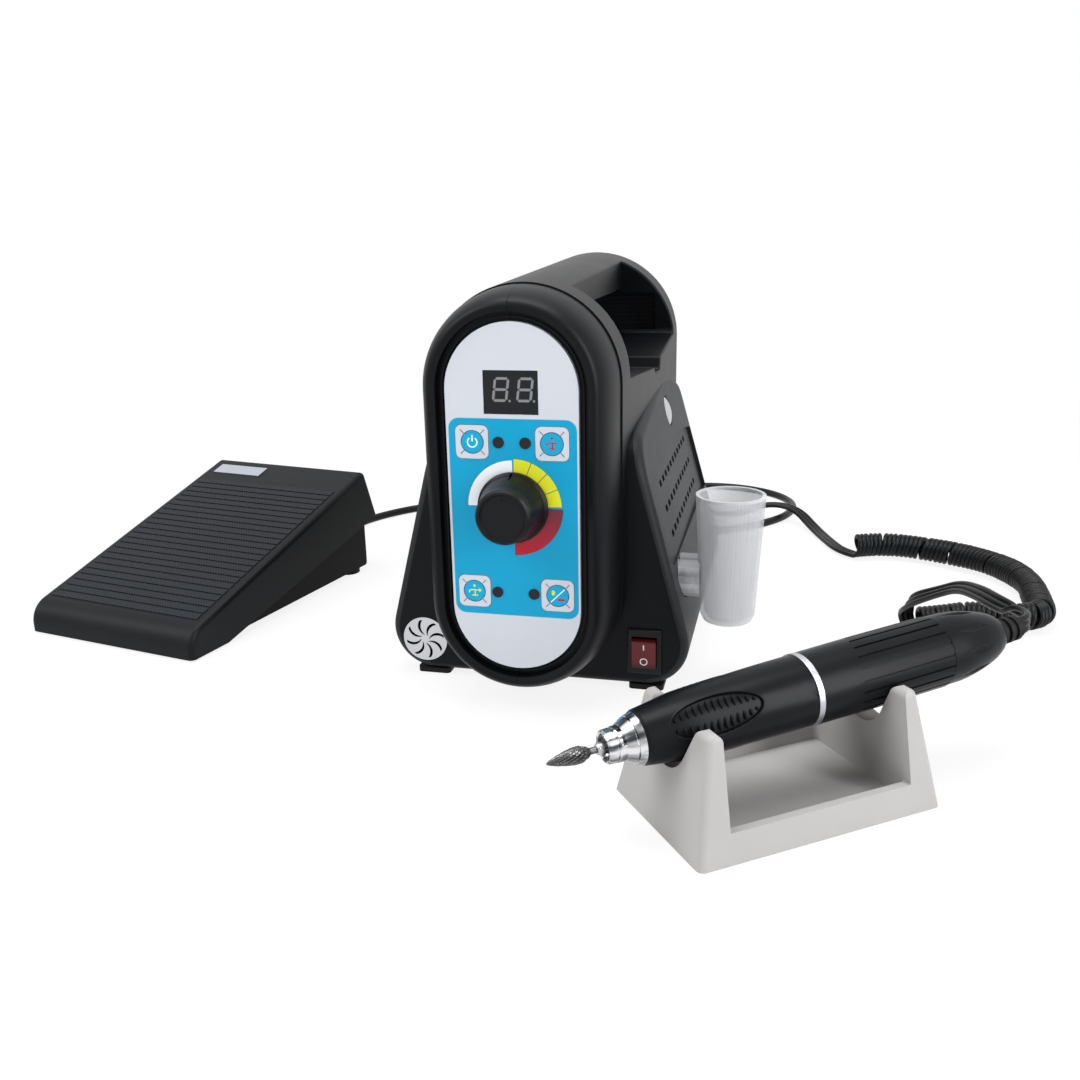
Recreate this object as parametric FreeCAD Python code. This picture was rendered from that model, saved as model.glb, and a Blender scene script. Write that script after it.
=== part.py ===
import FreeCAD, Part
import math
import os

# Dental micromotor: control unit with a carrying handle, handpiece on its stand, foot pedal and cords.
# Millimetres. X runs to the right, Y to the back and Z up, as one faces the control panel.

V = FreeCAD.Vector
X_DIR = V(1, 0, 0)
Y_DIR = V(0, 1, 0)
Z_DIR = V(0, 0, 1)

# Clearances
FIT = 0.1
GAP = 0.3
SLIDE_GAP = 0.6

# How far a cutting tool reaches
THROUGH = 30.0

# Control unit, body
NOSE_R = 42.0
NOSE_LOW = 49.0
NOSE_HIGH = 141.5
NOSE_EDGE_Y = -8.5
NOSE_CREST_Y = -33.5
NOSE_STEP = 0.7
NOSE_CREST_R = 34.0
GROOVE_R = 32.0
GROOVE_DEPTH = 5.0
LIP_R = 30.2
LIP_H = 1.2
LOAF_REAR_Y = 162.0
LOAF_REAR_R = 45.5
LOAF_RISE = 3.0
LOAF_LOW = 60.0
LOAF_EDGE = 6.0
WALL = 3.0
BASE_BOTTOM = 2.5
SIDE_TOP_Z = 125.0
SIDE_TOP_X = 44.5
SIDE_LEAN = 14.52
CORNER_R = 20.0
KINK_Z = 115.0
APEX_Y = 119.0
APEX_Z = 130.0
SHOULDER_Y = 163.0
SHOULDER_Z = 117.0
TAIL_Y = 177.0
TAIL_Z = 20.0
RIM_R = 4.5

# Control unit, carrying handle
STRAP_W = 34.0
STRAP_UNDER = 171.0
GRIP_FRONT = 10.0
GRIP_REAR = 144.0
GRIP_EDGE = 1.0
TRAY_FRONT_Z = 141.5
TRAY_REAR_Z = 136.8
FINGER_FRONT = 78.0
FINGER_FLOOR_Z = 134.0
FINGER_END = 94.0
FINGER_ROUND = 2.2
LEDGE_Z = 140.0
CREASE_Z = 147.0
POCKET_W = 70.0
POCKET_DEPTH = 6.0
POCKET_LOW = 149.0
POCKET_HIGH = 169.0
RIB_COUNT = 4
RIB_PITCH = 4.6
RIB_H = 1.2
RIB_W = 1.6

# Side covers
COVER_T = 3.5
COVER_WRAP_X = 52.0
CAP_Y = 100.0
CAP_Z = 112.0
CAP_D = 15.6
CAP_SEAT = 1.6
CAP_DOME = 2.2
SCREW_D = 4.0
VENT_Y0 = 12.0
VENT_Y1 = 163.0
VENT_LOW = 57.0
VENT_HIGH = 92.0
VENT_RISE = 7.0
VENT_SHALLOW = 0.4
VENT_DEEP = 2.2
VENT_ROWS = 3
VENT_COLS = 11
VENT_SLOT_L = 6.0
VENT_SLOT_H = 3.0
VENT_PITCH = 10.5
VENT_ROW_PITCH = 11.8
VENT_SLOT_Y0 = 33.5
VENT_SLOT_TOP = 90.0

# Control panel
PANEL_R = 28.0
PANEL_T = 3.0
WINDOW_W = 23.0
WINDOW_Z0 = 132.3
WINDOW_Z1 = 150.2
WINDOW_T = 1.6
KEY_W = 14.2
KEY_R = 2.6
KEY_TRAVEL = 0.5
KEY_PROUD = 0.3
UPPER_KEY_X = 17.0
UPPER_KEY_Z = 120.6
LOWER_KEY_X = 18.2
LOWER_KEY_Z = 55.5
LED_R = 2.4
UPPER_LED_X = 5.7
LOWER_LED_X = 8.0
LED_PROUD = 0.4
KNOB_Z = 93.5
KNOB_SKIRT_R = 15.0
KNOB_FACE_R = 10.6
KNOB_H = 17.5
KNOB_LIFT = 0.6
SHAFT_R = 3.0
BOARD_T = 1.6
BOARD_GAP = 5.0
POT_R = 8.5
POT_H = 9.0
SWITCH_W = 6.0

# Power rocker and vent disc on the sloped front
ROCKER_X = 50.8
ROCKER_Z = 19.8
ROCKER_W = 15.5
ROCKER_H = 21.2
ROCKER_T = 1.6
ROCKER_BODY = 12.5
PADDLE_W = 10.8
PADDLE_H = 14.0
PADDLE_SWING = 10.0
ROCKER_PIVOT_Y = 3.6
TRUNNION_R = 1.2
TRUNNION_OUT = 0.9
DISC_X = -53.9
DISC_Z = 18.0
DISC_D = 21.6
DISC_T = 1.6
DISC_SEAT = 1.2
DISC_VANES = 8

# Rear of the control unit
BAY_Y = 163.0
BAY_W = 92.0
BAY_LOW = 24.0
BAY_HIGH = 72.0
SOCKET_Z = 46.0
INLET_W = 27.0
INLET_H = 20.0
MOTOR_SOCKET_X = 32.0
PEDAL_SOCKET_X = -32.0
MOTOR_SOCKET_R = 9.5
PEDAL_SOCKET_R = 6.5
COLLAR_T = 2.4
MOTOR_PLUG_R = 6.0
PEDAL_PLUG_R = 3.2
MOTOR_PLUG_BODY_R = 7.5
PEDAL_PLUG_BODY_R = 5.0

# Inside the control unit
TRANSFORMER = (46.0, 40.0, 38.0)
TRANSFORMER_Y = 40.0
WINDING_INSET = 8.0
WINDING_OVER = 6.0
SUPPLY_BOARD = (70.0, 52.0)
BOARD_Y = 92.0
PILLAR_IN = 5.0
PILLAR_H = 4.0
PILLAR_R = 2.5

# Unit feet
UNIT_FOOT_X = 43.2
UNIT_FOOT_W = 15.9
UNIT_FOOT_L = 16.0
UNIT_FOOT_Y0 = 1.8
UNIT_FOOT_Y1 = 148.0
FOOT_CORNER = 2.0

# Bur cup
CUP_X = 85.6
CUP_Y = 25.0
CUP_RIM_R = 15.65
CUP_BASE_R = 12.2
CUP_LOW = 27.6
CUP_HIGH = 88.0
CUP_WALL = 1.6
CUP_ROUND = 4.0
BOSS_Z = 49.0
BOSS_R = 10.4
BOSS_LOBES = 6
BOSS_SEAT = 0.6
SPIGOT_R = 7.0
SPIGOT_L = 5.0

# Foot pedal, in a frame of its own
PEDAL_TURN = -11.091
PEDAL_AT = (-282.1, 9.9)
PEDAL_W = 111.5
PEDAL_T = 2.4
PEDAL_FRONT_Z = 15.06
PEDAL_ROLL = 13.0
PEDAL_CREST = 3.0
PEDAL_TOP_Y = 159.2
PEDAL_TOP_Z = 62.9
PEDAL_HEEL_Y = 170.1
PEDAL_HEEL_Z = 33.0
SKIRT_Y = 26.6
SKIRT_Z = 1.2
PEDAL_PIVOT_Y = 22.0
PEDAL_PIVOT_Z = 7.0
PEDAL_PIN_R = 1.6
PEDAL_LUG_R = 3.6
PEDAL_BASE_Y0 = 7.0
PEDAL_BASE_Y1 = 159.0
PEDAL_BASE_Z = 3.2
PEDAL_BASE_WALL = 2.6
BASE_SIDE_GAP = 0.4
PIN_FIT = 0.05
LUG_T = 4.0
LUG_WEB = 4.8
POST_R = 4.1
CAM_X = 16.0
CAM_T = 3.0
CAM_W = 10.0
SENSOR_X = 6.0
SENSOR_SIZE = (9.4, 16.0, 11.0)
PEDAL_BASE_FRONT_Z = 11.0
PEDAL_BASE_REAR_Z = 36.0
PEDAL_FOOT_R = 7.0
MAT_X0 = 5.0
MAT_Y0 = 11.0
MAT_L = 129.0
MAT_T = 1.0
MAT_RIBS = 24
MAT_RIB_H = 1.4
MAT_RIB_W = 4.3
LABEL_X = 8.0
LABEL_W = 35.5
LABEL_L = 9.8
LABEL_GAP = 8.2
LABEL_T = 0.5
SPRING_R = 6.0
SPRING_WIRE = 1.3
SPRING_TURNS = 6
SPRING_Y = 112.0
SENSOR_Y = 92.0
GLAND_X = 52.0
GLAND_Z = 9.6
GLAND_L = 9.0
GLAND_WALL = 1.2

# Handpiece stand, in a frame of its own
STAND_TURN = 36.507
STAND_AT = (89.0, -137.1)
STAND_L = 101.6
STAND_W = 62.6
HORN_H = 44.0
END_LEAN = 7.3
FLANK_LEAN = 9.0
END_WALL = 13.0
FLANK_WALL = 3.2
FLANK_H = 10.8
FLOOR_T = 3.6
NOTCH_R = 11.2
NOTCH_BOTTOM = 24.2
NOTCH_FLARE = 22.35
HORN_ROUND = 2.8

# Handpiece, stations measured back from the nose
HAND_NOSE = -19.9
NOSE_END = 12.4
HIP_AT = 28.8
WAIST_AT = 41.8
SLEEVE_END = 78.6
RING_END = 83.3
MOTOR_END = 140.0
CAP_END = 172.5
SLEEVE_R0 = 9.3
SLEEVE_R1 = 12.2
SLEEVE_R2 = 13.3
MOTOR_R0 = 13.6
MOTOR_R1 = 13.9
RING_R = 13.7
SLEEVE_BORE = 6.8
NOSE_FRONT_R = 6.0
FACE_DEPTH = 1.8
LINE_AT = 3.1
SPIGOT_L = 8.0
BAYONET_AT = 4.3
BAYONET_W = 1.9
BAYONET_FROM = 95.0
BAYONET_TO = 160.0
MOTOR_BORE = 11.2
THUMB_AT = 39.0
THUMB_L = 36.0
THUMB_W = 13.5
THUMB_DEPTH = 0.9
THUMB_ROLL = 31.5
THUMB_COUNT = 3
GROOVE_COUNT = 20
GROOVE_START = 106.0
GROOVE_W = 0.9
GROOVE_D = 0.6
SPINDLE_R = 3.0
COLLET_R = 2.3
COLLET_OUT = 2.6
SHANK_R = 1.175
BUR_TIP = -21.1
BUR_HEAD_END = -7.0
BUR_NECK = -5.0
BUR_R = 3.1
BUR_BORE = 22.0
BEARING_T = 5.0
ROTOR_R = 7.0
STATOR_BORE = 7.5
BOOT_R = 5.4
BOOT_L = 11.4
BOOT_RIBS = 3
BOOT_LIP = 0.4

# Cords
CORD_D = 5.2
RIBBON_D = 4.6
FLOOR_GAP = 0.2
PLUG_OUT = 34.0
COIL_OUT_R = 8.2
COIL_TURNS = 27
COIL_BOW = [(152.0, 218.0), (168.0, 227.0), (200.0, 217.0), (228.0, 199.0), (243.0, 168.0), (241.0, 130.0),
            (240.0, 113.0), (225.0, 104.0), (204.0, 106.0), (188.0, 96.0), (173.0, 90.0)]
SLACK_R = 29.0
SLACK_PITCH = 5.8
SLACK_QUARTERS = 15
SLACK_AT = (-20.0, 275.0)
SLACK_Z = 3.8


def box(x0, x1, y0, y1, z0, z1):
    """A box between two corners."""
    return Part.makeBox(x1 - x0, y1 - y0, z1 - z0, V(x0, y0, z0))


def cyl(radius, length, base, direction):
    """A cylinder from its base point along a direction."""
    return Part.makeCylinder(radius, length, base, direction)


def ring(outer, inner, length, base, direction):
    """A plain ring."""
    return cyl(outer, length, base, direction).cut(cyl(inner, length, base, direction))


def polygon(points):
    """A closed wire of straight edges."""
    return Part.makePolygon(list(points) + [points[0]])


def rounded(points, radii):
    """A closed wire whose corners are arcs of the given radii."""
    count = len(points)
    cuts = []
    for i, point in enumerate(points):
        radius = radii[i]
        before = (points[i - 1] - point).normalize()
        after = (points[(i + 1) % count] - point).normalize()
        if radius <= 0:
            cuts.append((point, None, point))
            continue
        half = before.getAngle(after) / 2
        reach = radius / math.tan(half)
        bisector = (before + after).normalize()
        centre = point + bisector * (radius / math.sin(half))
        cuts.append((point + before * reach, centre - bisector * radius, point + after * reach))
    edges = []
    for i in range(count):
        start, middle, end = cuts[i]
        if middle is not None:
            edges.append(Part.Arc(start, middle, end).toShape())
        following = cuts[(i + 1) % count][0]
        if end.distanceToPoint(following) > 1e-6:
            edges.append(Part.LineSegment(end, following).toShape())
    return Part.Wire(edges)


def prism(wire, direction):
    """A solid made by pushing a closed wire along a vector."""
    return Part.Face(wire).extrude(direction)


def turned(points, base, axis, angle=360):
    """A solid of revolution from a closed profile of points."""
    return Part.Face(polygon(points)).revolve(base, axis, angle)


def fuse(shapes):
    """One solid from several."""
    first = shapes[0]
    rest = shapes[1:]
    return first.multiFuse(rest).removeSplitter() if rest else first


def filleted(shape, radius, choose):
    """The shape with the chosen edges rounded."""
    edges = [edge for edge in shape.Edges if choose(edge)]
    return shape.makeFillet(radius, edges) if edges else shape


def solids(shape):
    """The solids of a shape."""
    return list(shape.Solids)


def stadium(radius, y, low=NOSE_LOW, high=NOSE_HIGH):
    """The upright long oval of the nose and the panel, as a wire at one depth."""
    edges = [
        Part.LineSegment(V(radius, y, low), V(radius, y, high)).toShape(),
        Part.Arc(V(radius, y, high), V(0, y, high + radius), V(-radius, y, high)).toShape(),
        Part.LineSegment(V(-radius, y, high), V(-radius, y, low)).toShape(),
        Part.Arc(V(-radius, y, low), V(0, y, low - radius), V(radius, y, low)).toShape(),
    ]
    return Part.Wire(edges)


def stadium_prism(radius, y0, y1):
    """A solid long oval between two depths."""
    return prism(stadium(radius, y0), V(0, y1 - y0, 0))


# Control unit
FLOOR_Y = NOSE_CREST_Y + GROOVE_DEPTH
PANEL_FRONT = FLOOR_Y - PANEL_T


def bezel():
    """The rolled nose: a quarter ellipse carried round the long oval, with the panel groove."""
    roll = Part.Ellipse(V(NOSE_CREST_R, NOSE_CREST_Y, 0), V(NOSE_R - NOSE_STEP, NOSE_EDGE_Y, 0),
                        V(NOSE_CREST_R, NOSE_EDGE_Y, 0))
    arc = Part.ArcOfEllipse(roll, 0, math.pi / 2).toShape()
    crest, edge = arc.Vertexes[0].Point, arc.Vertexes[1].Point
    if crest.y > edge.y:
        crest, edge = edge, crest
    lip = V(GROOVE_R, NOSE_CREST_Y + 1.0, 0)
    corners = [crest, lip, V(GROOVE_R, FLOOR_Y, 0), V(LIP_R, FLOOR_Y, 0), V(LIP_R, FLOOR_Y - LIP_H, 0),
               V(LIP_R - 0.8, FLOOR_Y - LIP_H, 0), V(LIP_R - 0.8, FLOOR_Y, 0), V(0, FLOOR_Y, 0),
               V(0, GRIP_FRONT, 0), V(NOSE_R, GRIP_FRONT, 0), V(NOSE_R, NOSE_EDGE_Y, 0), edge]
    lines = [Part.LineSegment(a, b).toShape() for a, b in zip(corners, corners[1:])]
    half = Part.Face(Part.Wire(Part.__sortEdges__(lines + [arc])))
    # The profile lies in the XY plane; its X is the distance from the middle line.
    upper = half.copy()
    upper.translate(V(0, 0, NOSE_HIGH))
    upper = upper.revolve(V(0, 0, NOSE_HIGH), V(0, -1, 0), 180)
    lower = half.copy()
    lower.translate(V(0, 0, NOSE_LOW))
    lower = lower.revolve(V(0, 0, NOSE_LOW), V(0, 1, 0), 180)
    right = half.copy()
    right.translate(V(0, 0, NOSE_LOW))
    right = right.extrude(V(0, 0, NOSE_HIGH - NOSE_LOW))
    left = right.mirror(V(0, 0, 0), X_DIR)
    return fuse([right, left, upper, lower])


def arch(radius, high, y):
    """An upright arch standing on a flat bottom, as a wire at one depth."""
    edges = [
        Part.LineSegment(V(-radius, y, LOAF_LOW), V(radius, y, LOAF_LOW)).toShape(),
        Part.LineSegment(V(radius, y, LOAF_LOW), V(radius, y, high)).toShape(),
        Part.Arc(V(radius, y, high), V(0, y, high + radius), V(-radius, y, high)).toShape(),
        Part.LineSegment(V(-radius, y, high), V(-radius, y, LOAF_LOW)).toShape(),
    ]
    return Part.Wire(edges)


def loaf(inset):
    """The upper body behind the nose: an arch that widens and rises to the back."""
    front = arch(NOSE_R - inset, NOSE_HIGH, NOSE_EDGE_Y)
    rear = arch(LOAF_REAR_R - inset, NOSE_HIGH + LOAF_RISE, LOAF_REAR_Y - inset)
    solid = Part.makeLoft([front, rear], True, True)
    if inset > 0:
        return solid

    def rear_edge(edge):
        return min(v.Y for v in edge.Vertexes) > LOAF_REAR_Y - FIT and edge.BoundBox.ZMax > LOAF_LOW + 1

    return filleted(solid, LOAF_EDGE, rear_edge)


def side_x(z):
    """Half width of the sloped base at one height."""
    return SIDE_TOP_X + math.tan(math.radians(SIDE_LEAN)) * (SIDE_TOP_Z - z)


def base_section(inset, bottom):
    """The A-shaped cross-section of the base, with round lower corners."""
    top = APEX_Z + 10
    shift = inset / math.cos(math.radians(SIDE_LEAN))
    low = side_x(bottom) - shift
    high = side_x(top) - shift
    radius = CORNER_R - inset
    points = [V(-low, 0, bottom), V(low, 0, bottom), V(high, 0, top), V(-high, 0, top)]
    return rounded(points, [radius, radius, 0, 0])


def base_profile(inset):
    """The side outline of the base, from the front foot over the shoulder to the tail."""
    points = [V(0, inset, BASE_BOTTOM + inset), V(0, inset, KINK_Z - inset), V(0, APEX_Y, APEX_Z - inset),
              V(0, SHOULDER_Y - inset, SHOULDER_Z - inset), V(0, TAIL_Y - inset, TAIL_Z),
              V(0, TAIL_Y - 6 - inset, BASE_BOTTOM + inset)]
    return rounded(points, [0, 20, 40, 12, 12, 0])


def base_form(side_inset, inset):
    """The sloped base: its cross-section and its side outline, cut with each other."""
    width = 2 * side_x(0)
    length = TAIL_Y + 20
    section = base_section(side_inset, BASE_BOTTOM + (inset if inset > 0 else 0))
    along = prism(section, V(0, length, 0))
    outline = base_profile(inset)
    outline.translate(V(-width, 0, 0))
    across = prism(outline, V(2 * width, 0, 0))
    return along.common(across)


def base_outer():
    """The sloped base with its outline edges rounded."""
    form = base_form(0, 0)

    def on_rim(edge):
        middle = edge.valueAt((edge.FirstParameter + edge.LastParameter) / 2)
        if edge.BoundBox.XLength > 60 or abs(middle.x) < 20:
            return False
        return edge.BoundBox.YLength < 1e-3 and middle.y < 1 or edge.BoundBox.YLength > 1 and \
            edge.BoundBox.ZMax > KINK_Z - 40 or middle.y > SHOULDER_Y - 8 and edge.BoundBox.ZLength > 3

    return filleted(form, RIM_R, on_rim)


def cover_zone():
    """Where the side covers lie: the outer skin of the sloped sides, wrapped round the lower corners."""
    core = prism(base_section(COVER_T, BASE_BOTTOM + COVER_T), V(0, TAIL_Y + 20, 0))
    low = box(-COVER_WRAP_X, COVER_WRAP_X, -1, TAIL_Y + 30, -5, BASE_BOTTOM + COVER_T + 0.01)
    return core.fuse(low)


def side_placement():
    """From cover coordinates (depth in Y, height along the slope, outward) to the unit."""
    lean = math.radians(SIDE_LEAN)
    matrix = FreeCAD.Matrix(0, -math.sin(lean), math.cos(lean), SIDE_TOP_X,
                            1, 0, 0, 0,
                            0, math.cos(lean), math.sin(lean), SIDE_TOP_Z,
                            0, 0, 0, 1)
    return FreeCAD.Placement(matrix)


def slope_v(z):
    """Height along the slope of a point at one level."""
    return (z - SIDE_TOP_Z) / math.cos(math.radians(SIDE_LEAN))


def vent_outline(inset=0.0):
    """The arched outline of the vent field, in cover coordinates."""
    y0, y1 = VENT_Y0 + inset, VENT_Y1 - inset
    low, high = slope_v(VENT_LOW) + inset, slope_v(VENT_HIGH) - inset
    middle = (y0 + y1) / 2
    edges = [
        Part.LineSegment(V(y0, low, 0), V(y1 + 4, low, 0)).toShape(),
        Part.LineSegment(V(y1 + 4, low, 0), V(y1, high, 0)).toShape(),
        Part.Arc(V(y1, high, 0), V(middle, high + VENT_RISE, 0), V(y0, high, 0)).toShape(),
        Part.LineSegment(V(y0, high, 0), V(y0, low, 0)).toShape(),
    ]
    return Part.Wire(edges)


def vent_recess():
    """The sunken vent field, which deepens to the back."""
    field = prism(vent_outline(), V(0, 0, 4))
    field.translate(V(0, 0, -3))
    wedge = prism(polygon([V(VENT_Y0 - 5, -90, -VENT_SHALLOW), V(VENT_Y1 + 5, -90, -VENT_DEEP),
                           V(VENT_Y1 + 5, -90, 3), V(VENT_Y0 - 5, -90, 3)]), V(0, 120, 0))
    return field.common(wedge)


def vent_slots():
    """Three rows of short slots through the cover."""
    cuts = []
    for row in range(VENT_ROWS):
        middle = slope_v(VENT_SLOT_TOP - row * VENT_ROW_PITCH)
        for column in range(VENT_COLS):
            y = VENT_SLOT_Y0 + column * VENT_PITCH
            half_l, half_h = VENT_SLOT_L / 2, VENT_SLOT_H / 2
            cuts.append(box(y - half_l, y + half_l, middle - half_h, middle + half_h, -9, 3))
    return Part.makeCompound(cuts)


def placed(shape, placement):
    """A copy of the shape, moved by a placement."""
    copy = shape.copy()
    copy.Placement = placement.multiply(copy.Placement)
    return copy


def mirrored(shape):
    """The shape on the other side of the middle plane."""
    return shape.mirror(V(0, 0, 0), X_DIR)


def grip_opening(grow):
    """The space for the hand under the carrying strap, open on both sides."""
    wide = 2 * LOAF_REAR_R
    front, rear = GRIP_FRONT - grow, GRIP_REAR + grow
    points = [V(-wide, front, TRAY_FRONT_Z - grow), V(-wide, FINGER_FRONT - grow, TRAY_REAR_Z - grow),
              V(-wide, FINGER_FRONT + 2 - grow, FINGER_FLOOR_Z - grow),
              V(-wide, FINGER_END + grow, FINGER_FLOOR_Z - grow),
              V(-wide, FINGER_END + 2 + grow, LEDGE_Z - grow), V(-wide, rear, CREASE_Z - grow),
              V(-wide, rear - 5, STRAP_UNDER + grow), V(-wide, front, STRAP_UNDER + grow)]
    through = prism(rounded(points, [1, 1, 1, FINGER_ROUND, 1, 3, 6, 6]), V(2 * wide, 0, 0))
    pocket = box(-POCKET_W / 2 - grow, POCKET_W / 2 + grow, rear - 20, rear + POCKET_DEPTH,
                 POCKET_LOW - grow, POCKET_HIGH + grow)
    above = [V(0, front, STRAP_UNDER - 10), V(0, rear - 3.5, STRAP_UNDER - 10),
             V(0, rear - 11, STRAP_UNDER + 40), V(0, front, STRAP_UNDER + 40)]
    side = prism(polygon(above), V(wide, 0, 0))
    right = side.copy()
    right.translate(V(STRAP_W / 2 - grow, 0, 0))
    left = side.copy()
    left.translate(V(-wide - STRAP_W / 2 + grow, 0, 0))
    return fuse([through, pocket, right, left])


def rim_of(skin, opening):
    """A test for the edges where an opening breaks through a skin, beside the strap's own top."""

    def chosen(edge):
        middle = Part.Vertex(edge.valueAt((edge.FirstParameter + edge.LastParameter) / 2))
        if abs(middle.X) < STRAP_W / 2 - 1:
            return False
        return all(shape.Shells[0].distToShape(middle)[0] < FIT / 10 for shape in (skin, opening))

    return chosen


def grip_ribs():
    """The ribs across the back wall of the hand space."""
    ribs = []
    middle = (POCKET_LOW + POCKET_HIGH) / 2
    back = GRIP_REAR + POCKET_DEPTH
    for i in range(RIB_COUNT):
        z = middle + (i - (RIB_COUNT - 1) / 2) * RIB_PITCH
        half = POCKET_W / 2 - 2
        ribs.append(box(-half, half, back - RIB_H, back + 1, z - RIB_W / 2, z + RIB_W / 2))
    return ribs


def rear_bay(grow):
    """The pocket in the tail where the sockets sit."""
    half = BAY_W / 2 + grow
    return box(-half, half, BAY_Y - grow, TAIL_Y + 10, BAY_LOW - grow, BAY_HIGH + grow)


def unit_shell():
    """Both housing halves in one: nose, upper body and base, hollow, with every opening."""
    base = base_outer()
    zone = cover_zone()
    outer = fuse([bezel(), loaf(0), base.common(zone)])
    grip = grip_opening(0)
    outer = filleted(outer.cut(grip), GRIP_EDGE, rim_of(loaf(0), grip))
    outer = outer.cut(rear_bay(0))
    inner_nose = stadium_prism(NOSE_CREST_R, FLOOR_Y + WALL, GRIP_FRONT)
    inner_loaf = loaf(WALL)
    inner_base = base_form(COVER_T + WALL, WALL)
    hollow = inner_nose.fuse(inner_loaf).fuse(inner_base)
    hollow = hollow.cut(grip_opening(WALL))
    hollow = hollow.cut(rear_bay(WALL))
    shell = outer.cut(hollow)
    shell = shell.fuse(grip_ribs())
    window = box(VENT_Y0 + 12, VENT_Y1 - 12, slope_v(VENT_LOW + 3), slope_v(VENT_HIGH + 3), -14, 0)
    window = placed(window, side_placement())
    boss = placed(cyl(SCREW_D / 2, 16, V(CAP_Y, slope_v(CAP_Z), -16), Z_DIR), side_placement())
    cuts = [window, mirrored(window), boss, mirrored(boss)]
    cuts += [cyl(SPIGOT_R + FIT, 12, V(side_x(BOSS_Z) - COVER_T - 8, CUP_Y, BOSS_Z), X_DIR)]
    cuts += panel_cuts()
    cuts += front_cuts()
    cuts += rear_cuts()
    return shell.cut(Part.makeCompound(cuts))


def panel_cuts():
    """Holes behind the control panel for the display, keys, lamps and knob shaft."""
    y0, y1 = FLOOR_Y - 1, FLOOR_Y + WALL + 1
    cuts = [box(-WINDOW_W / 2, WINDOW_W / 2, y0, y1, WINDOW_Z0, WINDOW_Z1)]
    cuts.append(cyl(SHAFT_R + 2, y1 - y0, V(0, y0, KNOB_Z), Y_DIR))
    for x, z in key_places():
        cuts.append(cyl(KEY_W / 2 - 2, y1 - y0, V(x, y0, z), Y_DIR))
    for x, z in led_places():
        cuts.append(cyl(LED_R + FIT, y1 - y0, V(x, y0, z), Y_DIR))
    return cuts


def key_places():
    """Centres of the four keys: two above the knob and two below."""
    return [(-UPPER_KEY_X, UPPER_KEY_Z), (UPPER_KEY_X, UPPER_KEY_Z),
            (-LOWER_KEY_X, LOWER_KEY_Z), (LOWER_KEY_X, LOWER_KEY_Z)]


def led_places():
    """Centres of the four lamps."""
    return [(-UPPER_LED_X, UPPER_KEY_Z), (UPPER_LED_X, UPPER_KEY_Z),
            (-LOWER_LED_X, LOWER_KEY_Z), (LOWER_LED_X, LOWER_KEY_Z)]


def front_cuts():
    """The rocker's cut-out and the seat of the vent disc in the sloped front."""
    half_w, half_h = ROCKER_W / 2 - 1.0, ROCKER_H / 2 - 1.0
    rocker = box(ROCKER_X - half_w, ROCKER_X + half_w, -1, WALL + 1, ROCKER_Z - half_h, ROCKER_Z + half_h)
    through = cyl(DISC_D / 2 - 2.0, WALL + 2, V(DISC_X, -1, DISC_Z), Y_DIR)
    return [rocker, disc_seat(), through]


def disc_seat():
    """The seat of the vent disc."""
    return cyl(DISC_D / 2 + FIT, DISC_SEAT + 1, V(DISC_X, -1, DISC_Z), Y_DIR)


def rear_cuts():
    """Cut-outs in the socket bay."""
    y0, y1 = BAY_Y - WALL - 1, BAY_Y + 1
    half_w, half_h = INLET_W / 2 - 2, INLET_H / 2 - 1.5
    inlet = box(-half_w, half_w, y0, y1, SOCKET_Z - half_h, SOCKET_Z + half_h)
    motor = cyl(MOTOR_SOCKET_R - 1.5, y1 - y0, V(MOTOR_SOCKET_X, y0, SOCKET_Z), Y_DIR)
    pedal = cyl(PEDAL_SOCKET_R - 1.5, y1 - y0, V(PEDAL_SOCKET_X, y0, SOCKET_Z), Y_DIR)
    return [inlet, motor, pedal]


def housing(parts):
    """The two moulded halves, which meet on the middle plane."""
    shell = unit_shell()
    big = 400
    left = shell.common(box(-big, 0, -big, big, -big, big))
    right = shell.common(box(0, big, -big, big, -big, big))
    parts["housing_left"] = solids(left)
    parts["housing_right"] = solids(right)


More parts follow.
